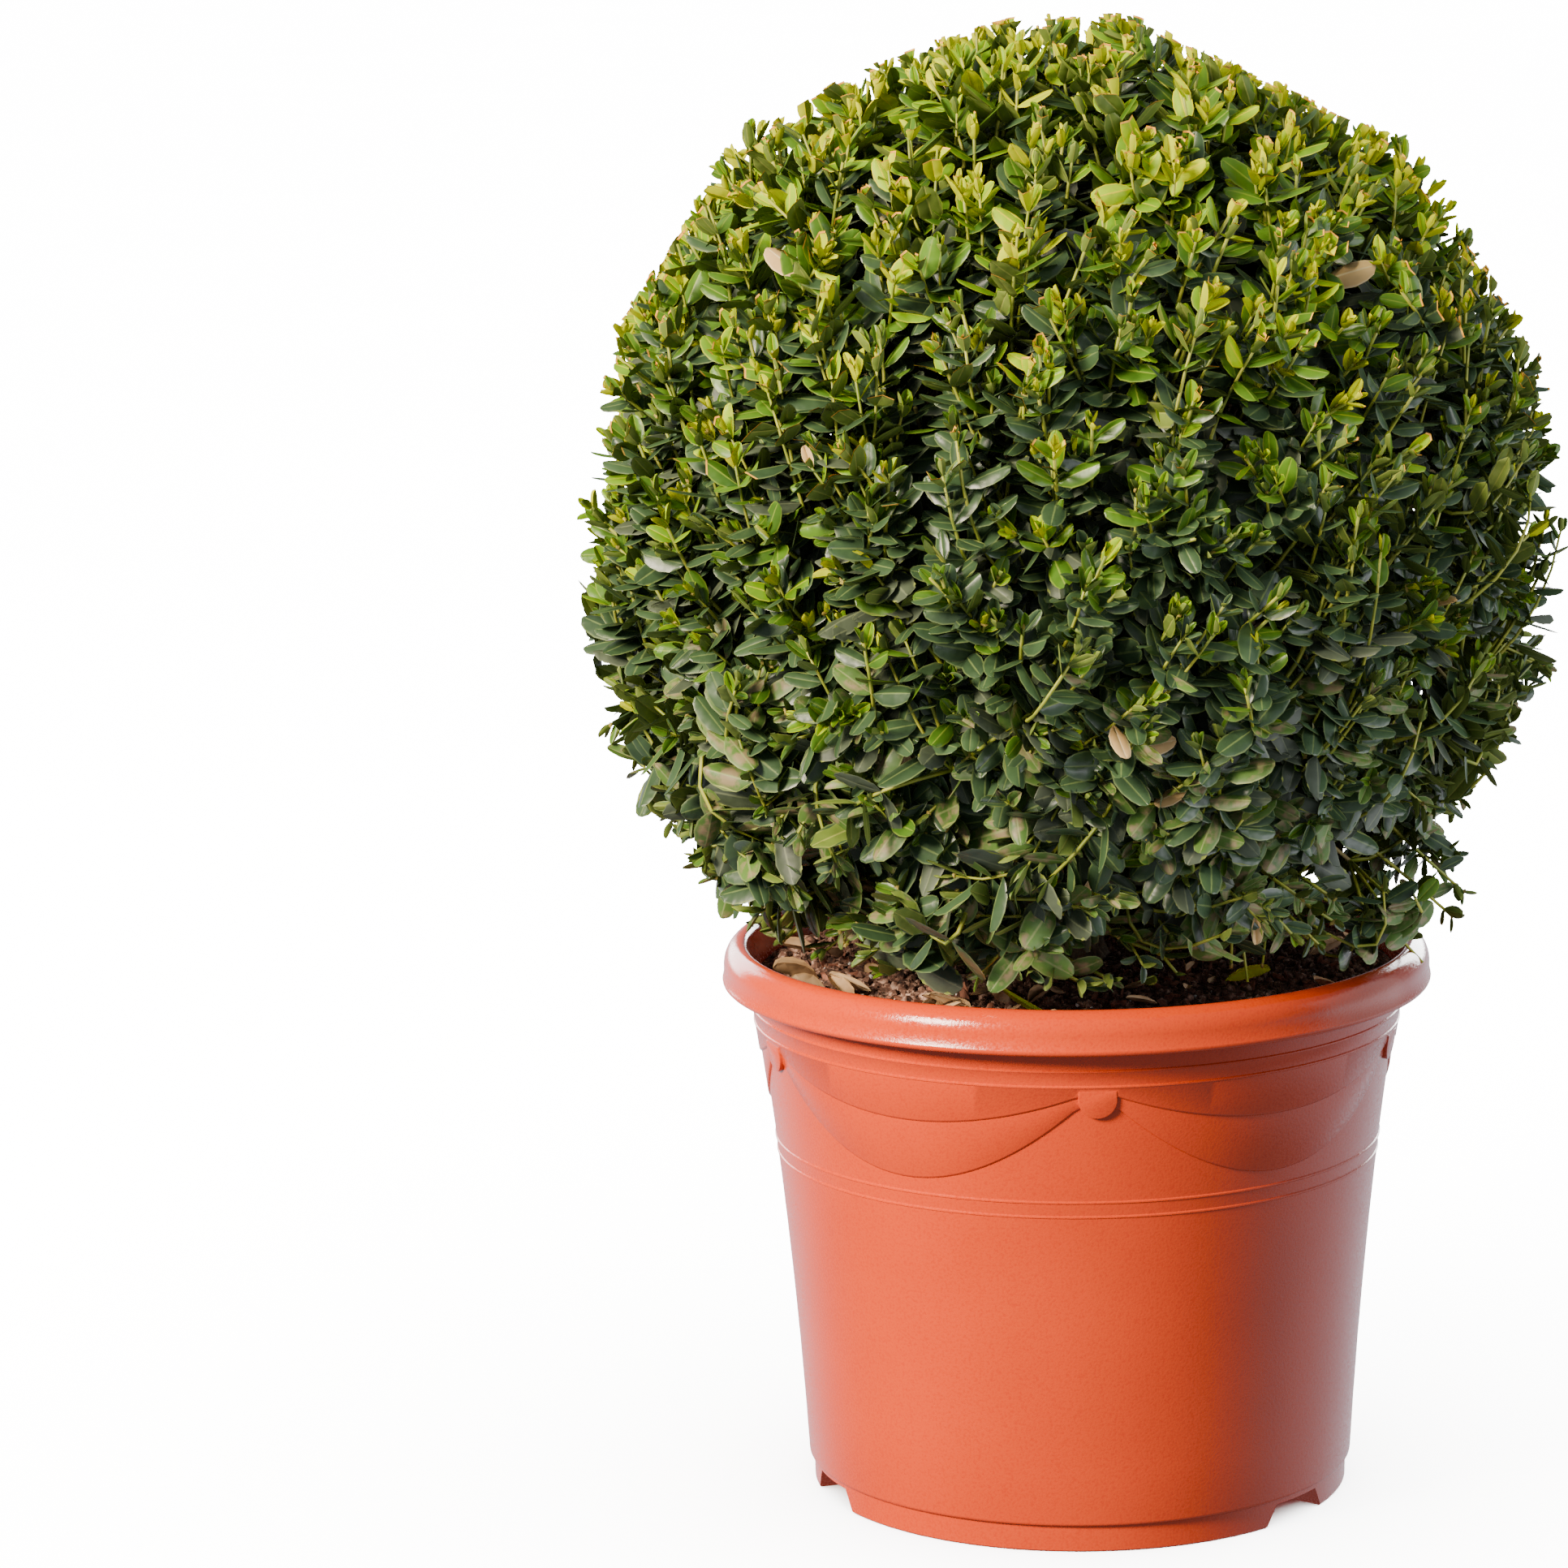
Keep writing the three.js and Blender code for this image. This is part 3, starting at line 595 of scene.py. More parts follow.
# The trunk and boughs: a short leaning trunk that forks into a leader and five side boughs, all with
# grey-brown bark in shallow corky ridges.
trunk_foot_radius = 17 * mm
trunk_fork_radius = 11 * mm
trunk_taper = 1.5 * mm
trunk_height = 40 * mm
trunk_lean = 4 * degree
bough_count = 5
bough_foot_radius = 5.6 * mm
bough_tip_radius = 3.6 * mm
leader_foot_radius = 7.5 * mm
recess_top_height = 388 * mm
limb_gap = 0.3 * mm
up = np.array([0.0, 0.0, 1.0])


def random_run(seed):
    """The source's own run of random numbers."""
    state = seed

    def draw(low, high):
        nonlocal state
        state = (state * 1664525 + 1013904223) % 2 ** 32
        return low + (high - low) * state / 2 ** 32

    return draw


def bezier(start, bend, end, shares):
    """Points on curves with one bend, for one curve or a row of curves."""
    t = np.asarray(shares)[:, None]
    start, bend, end = (np.asarray(p)[..., None, :] for p in (start, bend, end))
    return (1 - t) ** 2 * start + 2 * t * (1 - t) * bend + t ** 2 * end


trunk_foot = up * (soil_edge_height + soil_rise + limb_gap)
trunk_fork = trunk_foot + np.array([-math.tan(trunk_lean) * trunk_height, 1 * mm, trunk_height])
trunk_bend = up * ((trunk_foot + trunk_fork) / 2)


def leader_curve():
    """The leader's foot, bend and tip."""
    start = trunk_fork + up * limb_gap
    end = np.array([8 * mm, -6 * mm, recess_top_height + 12 * mm])
    return start, start + (end - start) * 0.4 + np.array([-5 * mm, 4 * mm, 0]), end


def side_bough_curve(index):
    """A side bough's foot, bend and tip."""
    draw = random_run(31 + index)
    turn = (index + draw(-0.12, 0.12)) * 2 * math.pi / bough_count
    outward = np.array([math.sin(turn), -math.cos(turn), 0])
    start = trunk_fork - up * (17 + 5 * (index % 3)) * mm
    end = outward * draw(64, 80) * mm + up * (recess_top_height + 8 * mm)
    return start, start + outward * 30 * mm + up * 26 * mm, end


def limb_form(curve, radius_at, sides, steps):
    """A bar cut into rings and laid along a curve, with ridges of bark along it."""
    form = bmesh.new()
    bmesh.ops.create_cone(form, cap_ends=True, segments=sides, radius1=1, radius2=1, depth=1)
    long_edges = [edge for edge in form.edges if abs(edge.verts[0].co.z - edge.verts[1].co.z) > 0.5]
    bmesh.ops.subdivide_edges(form, edges=long_edges, cuts=steps - 1, use_grid_fill=True)
    start, bend, end = curve
    for vertex in form.verts:
        share = vertex.co.z + 0.5
        angle = math.atan2(vertex.co.y, vertex.co.x)
        along = Vector(2 * (1 - share) * (bend - start) + 2 * share * (end - bend)).normalized()
        middle = Vector(bezier(start, bend, end, [share])[0])
        radius = radius_at(share, angle)
        spot = Vector((math.cos(angle) * 5, math.sin(angle) * 5, share * 9))
        ridges = abs(noise.noise(spot)) * 0.11 - noise.noise(spot * 2.3) * 0.05
        flat = Vector((vertex.co.x, vertex.co.y, 0)) * radius * (1.0 - ridges)
        vertex.co = middle + along.to_track_quat("Z", "Y") @ flat
    bmesh.ops.recalc_face_normals(form, faces=form.faces)
    return form


bark_material = mottled_material(
    "corky_box_bark", 3.333 * mm, [(0.3, "#3C3026"), (0.52, "#7C6A4E"), (0.72, "#A8977A")],
    {"Roughness": 0.82}, detail=5, stretch=(1, 1, 0.3), relief=(0.8, 1 * mm))


def trunk_radius(share, angle):
    """The trunk's taper, with its flare in five low lobes at the foot."""
    taper = trunk_fork_radius + trunk_taper * (1 - share)
    flare = (trunk_foot_radius - trunk_fork_radius - trunk_taper) * math.exp(-4 * share)
    return taper + flare * (1 + 0.25 * math.cos(5 * angle + 1))


def add_limb(name, node, curve, radius_at, sides, steps):
    """One limb with its bark, in place of its node."""
    piece = mesh_object(name, limb_form(curve, radius_at, sides, steps))
    smooth(piece, 4)
    finish_piece(piece, bark_material)
    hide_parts(node)


add_limb("barked_trunk", "trunk", (trunk_foot, trunk_bend, trunk_fork), trunk_radius, 48, 40)
limb_curves = [leader_curve()] + [side_bough_curve(i) for i in range(bough_count)]
limb_nodes = ["bough_leader"] + [f"bough_{i + 1}" for i in range(bough_count)]
for node, curve in zip(limb_nodes, limb_curves):
    foot_radius_here = leader_foot_radius if node == "bough_leader" else bough_foot_radius
    add_limb("barked_" + node, node, curve,
             lambda share, angle: foot_radius_here + (bough_tip_radius - foot_radius_here) * share, 24, 60)

# The branches: three orders of ever finer wood inside the ball, with the bark of the boughs. Each order's
# tips are spread evenly by golden turns, and each limb springs from the nearest one of the order before.
ball_centre = np.array([0, 0, 468 * mm])
ball_radius = 237 * mm
bump_height = 2 * mm
skirt_swell = 14 * mm
golden_turn = math.pi * (3 - math.sqrt(5))
branch_count, branchlet_count, twig_count = 34, 170, 640
# Each hollow and stray shoot: its turn from the front and its rise in degrees, and millimetres in or out.
hollows = [
    (-90, 36, 9), (-90, 11, 18), (90, 66, 8), (90, 35, 9), (90, 10, 12), (90, -3, 17), (88, -36, 11),
]
stray_shoots = [
    (80, -46, 20), (104, -33, 10), (-98, -27, 10), (-30, 68, 6), (94, -18, 6), (92, 43, 8), (-92, 46, 7),
]
random = np.random.default_rng(7)


def heading(turn, rise):
    """A direction from its turn and rise in degrees."""
    level = math.cos(rise * degree)
    x, y = math.sin(turn * degree), -math.cos(turn * degree)
    return np.array([level * x, level * y, math.sin(rise * degree)])


def smoothstep(value, low, high):
    """A smooth climb from 0 to 1 between two values."""
    share = np.clip((value - low) / (high - low), 0, 1)
    return share * share * (3 - 2 * share)


def clipped_radius(directions):
    """How far the clipped surface lies from the ball's centre."""
    x, y, z = np.moveaxis(directions, -1, 0)
    waves = np.sin(5 * x + 1) + np.sin(6 * y + 2.4) + np.sin(5 * z + x)
    dents = [depth * mm * smoothstep(directions @ heading(turn, rise), 0.955, 0.99)
             for turn, rise, depth in hollows]
    swell = skirt_swell * smoothstep(-z, 0.4, 0.75)
    return ball_radius + bump_height * waves + swell - np.max(dents, axis=0)


def outline_radius(directions):
    """The clipped surface with the stray shoots past it."""
    past = [reach * mm * smoothstep(directions @ heading(turn, rise), 0.985, 0.998)
            for turn, rise, reach in stray_shoots]
    return clipped_radius(directions) + np.max(past, axis=0)


def spread_directions(count, lowest_rise, jitter):
    """Directions spread evenly over the ball by golden turns, down to a lowest rise."""
    i = np.arange(count)
    height = 1 + (math.sin(lowest_rise * degree) - 1) * (i + 0.5) / count
    level = np.sqrt(1 - height ** 2)
    turn = i * golden_turn
    even = np.stack([level * np.sin(turn), -level * np.cos(turn), height], 1)
    return unit(even + random.normal(size=(count, 3)) * jitter)


def nearest(places, spots):
    """For each place, which of the spots lies nearest."""
    apart = np.linalg.norm(places[:, None, :] - spots[None, :, :], axis=-1)
    return np.argmin(apart, axis=1)


def grow_order(parents, targets, bend_share):
    """Curves from the parents' outer ends to the targets, leaving along the parent."""
    parent_ends = bezier(*parents, [0.6, 0.8, 1.0])
    choice = nearest(targets, parent_ends[:, 2])
    along = unit(parent_ends[:, 2] - parent_ends[:, 0])[choice]
    slide = random.integers(0, 3, len(targets))
    start = parent_ends[choice, slide]
    reach = np.linalg.norm(targets - start, axis=1, keepdims=True)
    return start, start + along * reach * bend_share, targets


def finish_foliage(piece, material):
    """Finishes a joined piece of the crown, in place of the crown's node."""
    finish_piece(piece, material)
    lit_foliage.objects.link(piece)
    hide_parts("crown")


def tubes(name, curves, foot_size, tip_size, sides, steps, material):
    """Many tapering twigs as one piece, with radii round two sizes in millimetres."""
    shares = np.linspace(0, 1, steps + 1)
    middles = bezier(*curves, shares)
    count = len(middles)
    foot_radii, tip_radii = (size * random.uniform(0.85, 1.15, count) * mm for size in (foot_size, tip_size))
    along = unit(np.gradient(middles, axis=1))
    aside = np.broadcast_to(unit(np.cross(along[:, :1], random.normal(size=(count, 1, 3)))), along.shape)
    aside = square_to(along, aside)
    across = np.cross(along, aside)
    angles = np.arange(sides) * 2 * math.pi / sides
    ring = np.cos(angles)[:, None] * aside[:, :, None, :] + np.sin(angles)[:, None] * across[:, :, None, :]
    radii = foot_radii[:, None] + (tip_radii - foot_radii)[:, None] * shares
    points = middles[:, :, None, :] + ring * radii[:, :, None, None]
    k = np.arange(sides)
    here = np.arange(steps)[:, None] * sides + k
    there = np.arange(steps)[:, None] * sides + (k + 1) % sides
    wall = np.stack([here, there, there + sides, here + sides], -1).reshape(-1, 4)
    ends = np.stack([k[::-1], steps * sides + k])
    first = np.arange(count)[:, None, None] * (steps + 1) * sides
    faces = [(wall[None] + first).reshape(-1, 4), (ends[None] + first).reshape(-1, sides)]
    finish_foliage(joined_piece(name, points.reshape(-1, 3), faces), material)


def order_of(count, lowest_rise, distance, jitter):
    """Where one order's tips lie."""
    directions = spread_directions(count, lowest_rise, jitter)
    return ball_centre + directions * distance * random.uniform(0.92, 1.06, (count, 1))


limbs = tuple(np.array([curve[i] for curve in limb_curves]) for i in range(3))
branches = grow_order(limbs, order_of(branch_count, -40, 115 * mm, 0.08), 0.35)
branchlets = grow_order(branches, order_of(branchlet_count, -50, 165 * mm, 0.06), 0.3)
twigs = grow_order(branchlets, order_of(twig_count, -55, 198 * mm, 0.04), 0.3)
tubes("branches", branches, 3.2, 2.2, 7, 8, bark_material)
tubes("branchlets", branchlets, 2.1, 1.5, 6, 6, bark_material)

# The second-year twigs: the last order of the wood, still green-brown and nearly smooth. This year's
# shoots stand on them.
twig_material = mottled_material("green_brown_twig_bark", 8.333 * mm, [(0.35, "#6C5C3C"), (0.65, "#969050")],
                                 {"Roughness": 0.7})
tubes("twigs", twigs, 1.4, 1.0, 5, 5, twig_material)

# The shoots: soft green stems that stand in bunches and climb up and out to the clipped surface. Fewer
# grow at the lower right, where light shows through, and a few strays have grown on past the shears.
bunch_count = 380
shoot_count = 1680
lowest_shoot_rise = -57
strays_together = 3
deepest_bunch = 13 * mm
bunch_pull = 0.34
missing_share = 0.42
dropped_share = 0.62
thin_patch_centres = [heading(78, -22), heading(118, -22)]
random = np.random.default_rng(11)


def thinness(directions):
    """How far the growth is thinned, from 0 to 1."""
    return np.max([smoothstep(directions @ centre, 0.8, 0.94) for centre in thin_patch_centres], axis=0)


bunch_directions = spread_directions(bunch_count, lowest_shoot_rise, 0.03)
bunch_leans = random.normal(size=(bunch_count, 3)) * 0.25
bunch_depths = random.uniform(size=bunch_count) ** 1.6 * deepest_bunch
shoot_directions = spread_directions(shoot_count, lowest_shoot_rise, 0.03)
is_missing = random.uniform(size=bunch_count) < missing_share * thinness(bunch_directions)
bunch = nearest(shoot_directions, bunch_directions)
shoot_directions = shoot_directions[~is_missing[bunch]]
bunch = nearest(shoot_directions, bunch_directions)
shoot_directions = unit(shoot_directions + bunch_pull * (bunch_directions[bunch] - shoot_directions))
strays = np.repeat([heading(*stray[:2]) for stray in stray_shoots], strays_together, axis=0)
shoot_directions = np.concatenate([shoot_directions, unit(strays + random.normal(size=strays.shape) * 0.04)])
bunch = nearest(shoot_directions, bunch_directions)
shoot_count = len(shoot_directions)
is_stray = np.arange(shoot_count) >= shoot_count - len(strays)

height = shoot_directions[:, 2]
lift = (1 - 0.9 * smoothstep(-height, 0.1, 0.8))[:, None]
shoot_aims = 0.5 * shoot_directions + 0.75 * lift * up + bunch_leans[bunch]
shoot_aims = np.where(is_stray[:, None], shoot_directions, shoot_aims)
shoot_aims = unit(shoot_aims + random.normal(size=(shoot_count, 3)) * 0.12)
is_cut = random.uniform(size=shoot_count) < 0.3 + 0.5 * smoothstep(height, -0.1, 0.7)
depth = np.where(is_cut, random.uniform(0, 6, shoot_count), random.uniform(6, 13, shoot_count)) * mm
depth = depth + np.where(is_cut, 0.4, 1.0) * bunch_depths[bunch] + 5 * mm * smoothstep(-height, -0.1, 0.3)
depth = np.where(is_stray, 3 * mm, depth)
tips = ball_centre + shoot_directions * (outline_radius(shoot_directions) - depth)[:, None]
shoot_lengths = np.where(is_stray, 95, random.uniform(55, 82, shoot_count)) * mm
feet = tips - shoot_aims * shoot_lengths[:, None]
twig_points = bezier(*twigs, [0.4, 0.7, 1.0]).reshape(-1, 3)
shoots = (twig_points[nearest(feet, twig_points)], feet + (tips - feet) * 0.3, tips)

# The leaves: opposite pairs, each pair square to the one before it. A leaf is leathery and oval, mostly 9
# to 27 mm long, with a glossy upper side, a paler dull underside and a pale midrib. Shears have cut the
# ones that stand past the ball straight across, and the cuts have dried tan.
stations = np.array([0, 0.1, 0.3, 0.55, 0.78, 0.93, 1.0])
inner_stations = np.array([0, 0.2, 0.55, 0.88, 1.0])
under_stations = np.array([0, 0.3, 0.78, 1.0])
tip_half_width = 0.15
kinds = ["young", "bright", "fresh", "green", "dark", "dusty", "inner", "dry"]
midrib_crease = 16 * degree
leaf_thickness = 0.45 * mm
most_leaves_a_piece = 7000
skirt_clearance = 33 * mm  # from the compost to the lowest leaves
skirt_wave = 8 * mm


def half_width(share):
    """A leaf's half width at a share of its length, as a share of the widest: a narrow foot, a round tip."""
    oval = np.clip(4 * share * (1 - share), 0, 1) ** (0.86 - 0.45 * share)
    return np.maximum(oval, np.where(share > 0.95, tip_half_width, 0))


def leaf_column(leaves, side, shares):
    """Points on a leaf's left edge, middle or right edge, at shares of its length."""
    wide = half_width(shares)
    along = leaves["direction"][:, None, :] * (leaves["length"][:, None] * shares)[..., None]
    out = leaves["across"][:, None, :] * (side * wide * leaves["width"][:, None] / 2)[..., None]
    bow = leaves["bend"][:, None] * shares ** 2 * leaves["length"][:, None]
    fold = -abs(side) * leaves["fold"][:, None] * wide * leaves["width"][:, None] / 2
    return leaves["root"][:, None, :] + along + out + leaves["normal"][:, None, :] * (bow + fold)[..., None]


def cut_share(leaves, side):
    """The share of a leaf's length at which a column passes the shears' surface."""
    shares = np.linspace(0, 1, 11) * np.ones((len(leaves["root"]), 1))
    offset = leaf_column(leaves, side, shares) - ball_centre
    away = np.linalg.norm(offset, axis=-1)
    past = away - clipped_radius(offset / away[..., None]) - leaves["shear"][:, None]
    outside = past > 0
    first = np.argmax(outside, axis=1)
    rows = np.arange(len(first))
    before, after = past[rows, first - 1], past[rows, first]
    share = (first - 1 + before / np.minimum(before - after, -1e-9)) / 10
    return np.where(outside.any(axis=1), np.where(first == 0, 0, share), 1.0)


def leaf_pairs(curves, offsets, first_number):
    """Every leaf of a row of shoots as arrays, from the tips inwards."""
    feet_here, bends, ends = curves
    count = len(ends)
    lengths = np.linalg.norm(ends - bends, axis=1) + np.linalg.norm(bends - feet_here, axis=1)
    aside = unit(np.cross(unit(ends - bends), random.normal(size=(count, 3))))
    stretch = random.uniform(0.85, 1.15, count) * mm
    parts = []
    for number, offset in enumerate(offsets):
        share = 1 - offset * stretch * random.uniform(0.93, 1.07, count) / lengths
        t = share[:, None]
        point = (1 - t) ** 2 * feet_here + 2 * t * (1 - t) * bends + t ** 2 * ends
        along = unit(2 * (1 - t) * (bends - feet_here) + 2 * t * (ends - bends))
        side = square_to(along, aside)
        side = np.cross(along, side) if number % 2 else side
        for sign in (1, -1):
            parts.append({
                "root": point, "along": along, "side": side * sign, "shoot": np.arange(count),
                "number": np.full(count, first_number + number), "fits": share > 0.12,
            })
    return {key: np.concatenate([part[key] for part in parts]) for key in parts[0]}


def chosen(leaves, keep):
    """The leaves that a mask keeps."""
    return {key: values[keep] for key, values in leaves.items()}


# Pairs 0 to 7 stand on a shoot, at millimetres from its tip, and pairs 8 to 11 are old ones on the twig.
shoot_offsets = [0.5, 4, 10, 17, 25, 34, 44, 55]
twig_offsets = [3, 11, 21, 33]
shoot_pairs = leaf_pairs(shoots, shoot_offsets, 0)
twig_pairs = leaf_pairs(twigs, twig_offsets, len(shoot_offsets))
leaves = {key: np.concatenate([shoot_pairs[key], twig_pairs[key]]) for key in shoot_pairs}
leaves = chosen(leaves, leaves["fits"])
pair_lengths = np.array([9, 13.5, 17.5, 20.5, 22, 23, 23.5, 23.5, 24, 24, 24, 23])
pair_spreads = np.array([18, 34, 46, 54, 60, 64, 66, 66, 62, 62, 62, 62])
count = len(leaves["root"])
number = leaves["number"]
out = unit(leaves["root"] - ball_centre)
low = smoothstep(-out[:, 2], 0.05, 0.6)
spray_count = max(shoot_count, twig_count)
vigour = random.uniform(0.84, 1.1, spray_count)[leaves["shoot"]]
vigour = vigour * (1 + 0.12 * low - 0.18 * smoothstep(out[:, 0] + 0.3 * low, 0.35, 0.95))
leaves["length"] = pair_lengths[number] * random.uniform(0.84, 1.16, count) * vigour * mm
leaves["width"] = leaves["length"] * random.uniform(0.46, 0.57, count) * np.where(number < 2, 0.86, 1)
spread = (pair_spreads[number] + 10 * low + random.normal(size=count) * 9) * degree
twist = random.normal(size=count) * 0.33
droop = (0.08 + 0.24 * low)[:, None] * np.array([0, 0, -1])
direction = unit(np.cos(spread)[:, None] * leaves["along"] + np.sin(spread)[:, None] * leaves["side"] + droop)
outward = np.maximum(np.sum(direction * out, 1), 0) * 0.6 * low
direction = unit(direction - outward[:, None] * out)
across = np.cross(leaves["along"], leaves["side"])
across = square_to(direction, across)
facing = np.sign(np.sum(np.cross(direction, across) * leaves["along"], 1, keepdims=True))
across, normal = across * facing, np.cross(direction, across) * facing
light_side = unit(out * 0.8 + up * 0.6)
normal = normal + light_side * (0.18 + 0.9 * low)[:, None]
normal = square_to(direction, normal)
across = np.cross(normal, direction)
leaves["direction"] = direction
leaves["across"] = unit(across * np.cos(twist)[:, None] + normal * np.sin(twist)[:, None])
leaves["normal"] = unit(normal * np.cos(twist)[:, None] - across * np.sin(twist)[:, None])
is_erect = number < 2
leaves["bend"] = np.where(is_erect, random.uniform(-0.02, 0.2, count), random.uniform(-0.2, 0.05, count))
leaves["fold"] = np.where(is_erect, random.uniform(-0.85, -0.4, count), random.uniform(0.05, 0.5, count))
leaves["shear"] = (random.uniform(-2.5, 1.5, count) + 16 * smoothstep(-out[:, 2], -0.3, 0.1)) * mm

# The colours are dealt out by spray: young tips at the top, more light ones at the left as painted light
# where the lamp falls, and dull and dusty leaves low down.
fresh_by_pair = np.array([1, 0.85, 0.5, 0.12, -0.1, -0.25, -0.4, -0.6, -2, -2, -2, -2])
least_fresh = {"young": 0.64, "bright": 0.5, "fresh": 0.32, "green": 0.03}
luck = random.uniform(size=spray_count)[leaves["shoot"]]
# Freshest at the top, where new growth comes. The share at the left is painted light, lighter where the lamp
# falls.
top_growth_and_lit_left = smoothstep(out[:, 2], -0.1, 0.9) * 0.7 + 0.16 * smoothstep(-out[:, 0], -0.2, 0.9) - 0.7 * low
fresh = 0.5 * top_growth_and_lit_left + 0.6 * fresh_by_pair[number] - 0.6 * luck + 0.1 * random.normal(size=count)
kind = np.select([fresh > least for least in least_fresh.values()],
                 [kinds.index(name) for name in least_fresh], kinds.index("dark"))
is_dusty = (random.uniform(size=count) < low * 0.42) & (kind >= kinds.index("green"))
kind = np.where(is_dusty, kinds.index("dusty"), kind)
kind = np.where((random.uniform(size=count) < 0.75) & (number > 5), kinds.index("inner"), kind)
kind = np.where(random.uniform(size=count) < 0.002, kinds.index("dry"), kind)
leaves["kind"] = kind
leaves["tint"] = 0.6 * random.uniform(size=count) + 0.4 * random.permutation(luck)
passes_shears = outline_radius(out) - clipped_radius(out) > 1 * mm
for side in (-1, 0, 1):
    leaves[f"cut{side}"] = np.where(passes_shears, 1.0, cut_share(leaves, side))


def leaf_is_free(leaves):
    """Whether a leaf is long enough and keeps clear of the pot, the compost and the ball's limits."""
    ends = leaf_column(leaves, 0, leaves["cut0"][:, None] * np.array([0.5, 1.0]))
    radius = np.linalg.norm(ends[..., :2], axis=-1)
    turn = np.arctan2(ends[..., 0], -ends[..., 1])
    clearance = skirt_clearance + skirt_wave * np.sin(7 * turn + 1)
    lowest = np.where(radius > soil_radius - 6 * mm, pot_height + 6 * mm, soil_height(radius) + clearance)
    offset = ends - ball_centre
    away = np.linalg.norm(offset, axis=-1)
    inside = away < outline_radius(offset / away[..., None]) + 4 * mm
    free = ((ends[..., 2] > lowest) & inside).all(axis=1)
    long_enough = np.minimum(leaves["cut-1"], leaves["cut1"]) > 0.3
    thinned = thinness(unit(leaves["root"] - ball_centre)) * (leaves["number"] > 4)
    is_dropped = random.uniform(size=len(free)) < dropped_share * thinned
    return free & long_enough & (leaves["cut0"] > 0.3) & ~is_dropped


leaves = chosen(leaves, leaf_is_free(leaves))

# The stems of the shoots: soft young wood, yellow-green and smooth, and square across as box stems are.
# Only a shoot that keeps more than four of its leaves has one.
stem_material = mottled_material("young_green_stem", 11.11 * mm, [(0.35, "#728424"), (0.65, "#A2A634")],
                                 {"Roughness": 0.5})
is_on_shoot = leaves["number"] < len(shoot_offsets)
is_leafy = np.bincount(leaves["shoot"][is_on_shoot], minlength=shoot_count) > 4
tubes("shoot_stems", [points[is_leafy] for points in shoots], 1.15, 0.75, 4, 5, stem_material)

# The buds: a shoot that the shears have missed ends in one small long bud, closed in dull yellow scales
# that will open into its next pair of leaves.
bud_material = mottled_material("yellow_bud_scale", 3.333 * mm, [(0.35, "#8A7630"), (0.65, "#C8B658")],
                                {"Roughness": 0.6})
bud_tips = tips[~is_cut & is_leafy]
bud_sizes = random.uniform(0.8, 1.2, (len(bud_tips), 1)) * np.array([1.9, 1.0, 1.0]) * mm
lump_rows("buds", bud_tips, bud_sizes, bud_material)


def grid_faces(count, rows, columns, faces_up=True):
    """Faces for many alike grids of points, each in rows and columns."""
    base = np.arange(rows - 1)[:, None] * columns + np.arange(columns - 1)
    faces = np.stack([base, base + columns, base + columns + 1, base + 1], -1).reshape(-1, 4)
    faces = faces if faces_up else faces[:, ::-1]
    return (faces[None] + np.arange(count)[:, None, None] * rows * columns).reshape(-1, 4)


def add_leaf_rows(name, leaves, shares, middle_rise, faces_up, material):
    """One joined piece of leaf surfaces, with a row across the leaf at each share of its cut length."""
    columns, on_leaf = [], []
    for side in (-1, 0, 1):
        places = shares * leaves[f"cut{side}"][:, None]
        rise = (middle_rise * half_width(places) if side == 0 else 0 * places)[..., None]
        columns.append(leaf_column(leaves, side, places) + leaves["normal"][:, None, :] * rise)
        on_leaf.append(np.stack([side + 0 * places, places, leaves["tint"][:, None] + 0 * places], -1))
    points, on_leaf = np.stack(columns, 2), np.stack(on_leaf, 2)
    faces = [grid_faces(len(points), len(shares), 3, faces_up)]
    piece = joined_piece(name, points.reshape(-1, 3), faces, on_leaf=on_leaf)
    piece.data.set_sharp_from_angle(angle=midrib_crease)
    finish_foliage(piece, material)


def in_layers(name, leaves, most):
    """Leaves in layers from the top down, small enough for a piece each, with the pieces' names."""
    layers = math.ceil(len(leaves["root"]) / most)
    rank = np.argsort(np.argsort(-leaves["root"][:, 2]))
    names = [name] if layers == 1 else [f"{name}_{number + 1}" for number in range(layers)]
    return [(names[i], chosen(leaves, rank * layers // len(rank) == i)) for i in range(layers)]


blotch_size = 11.11 * mm
ripple_size = 6.667 * mm
film_size = 6.667 * mm


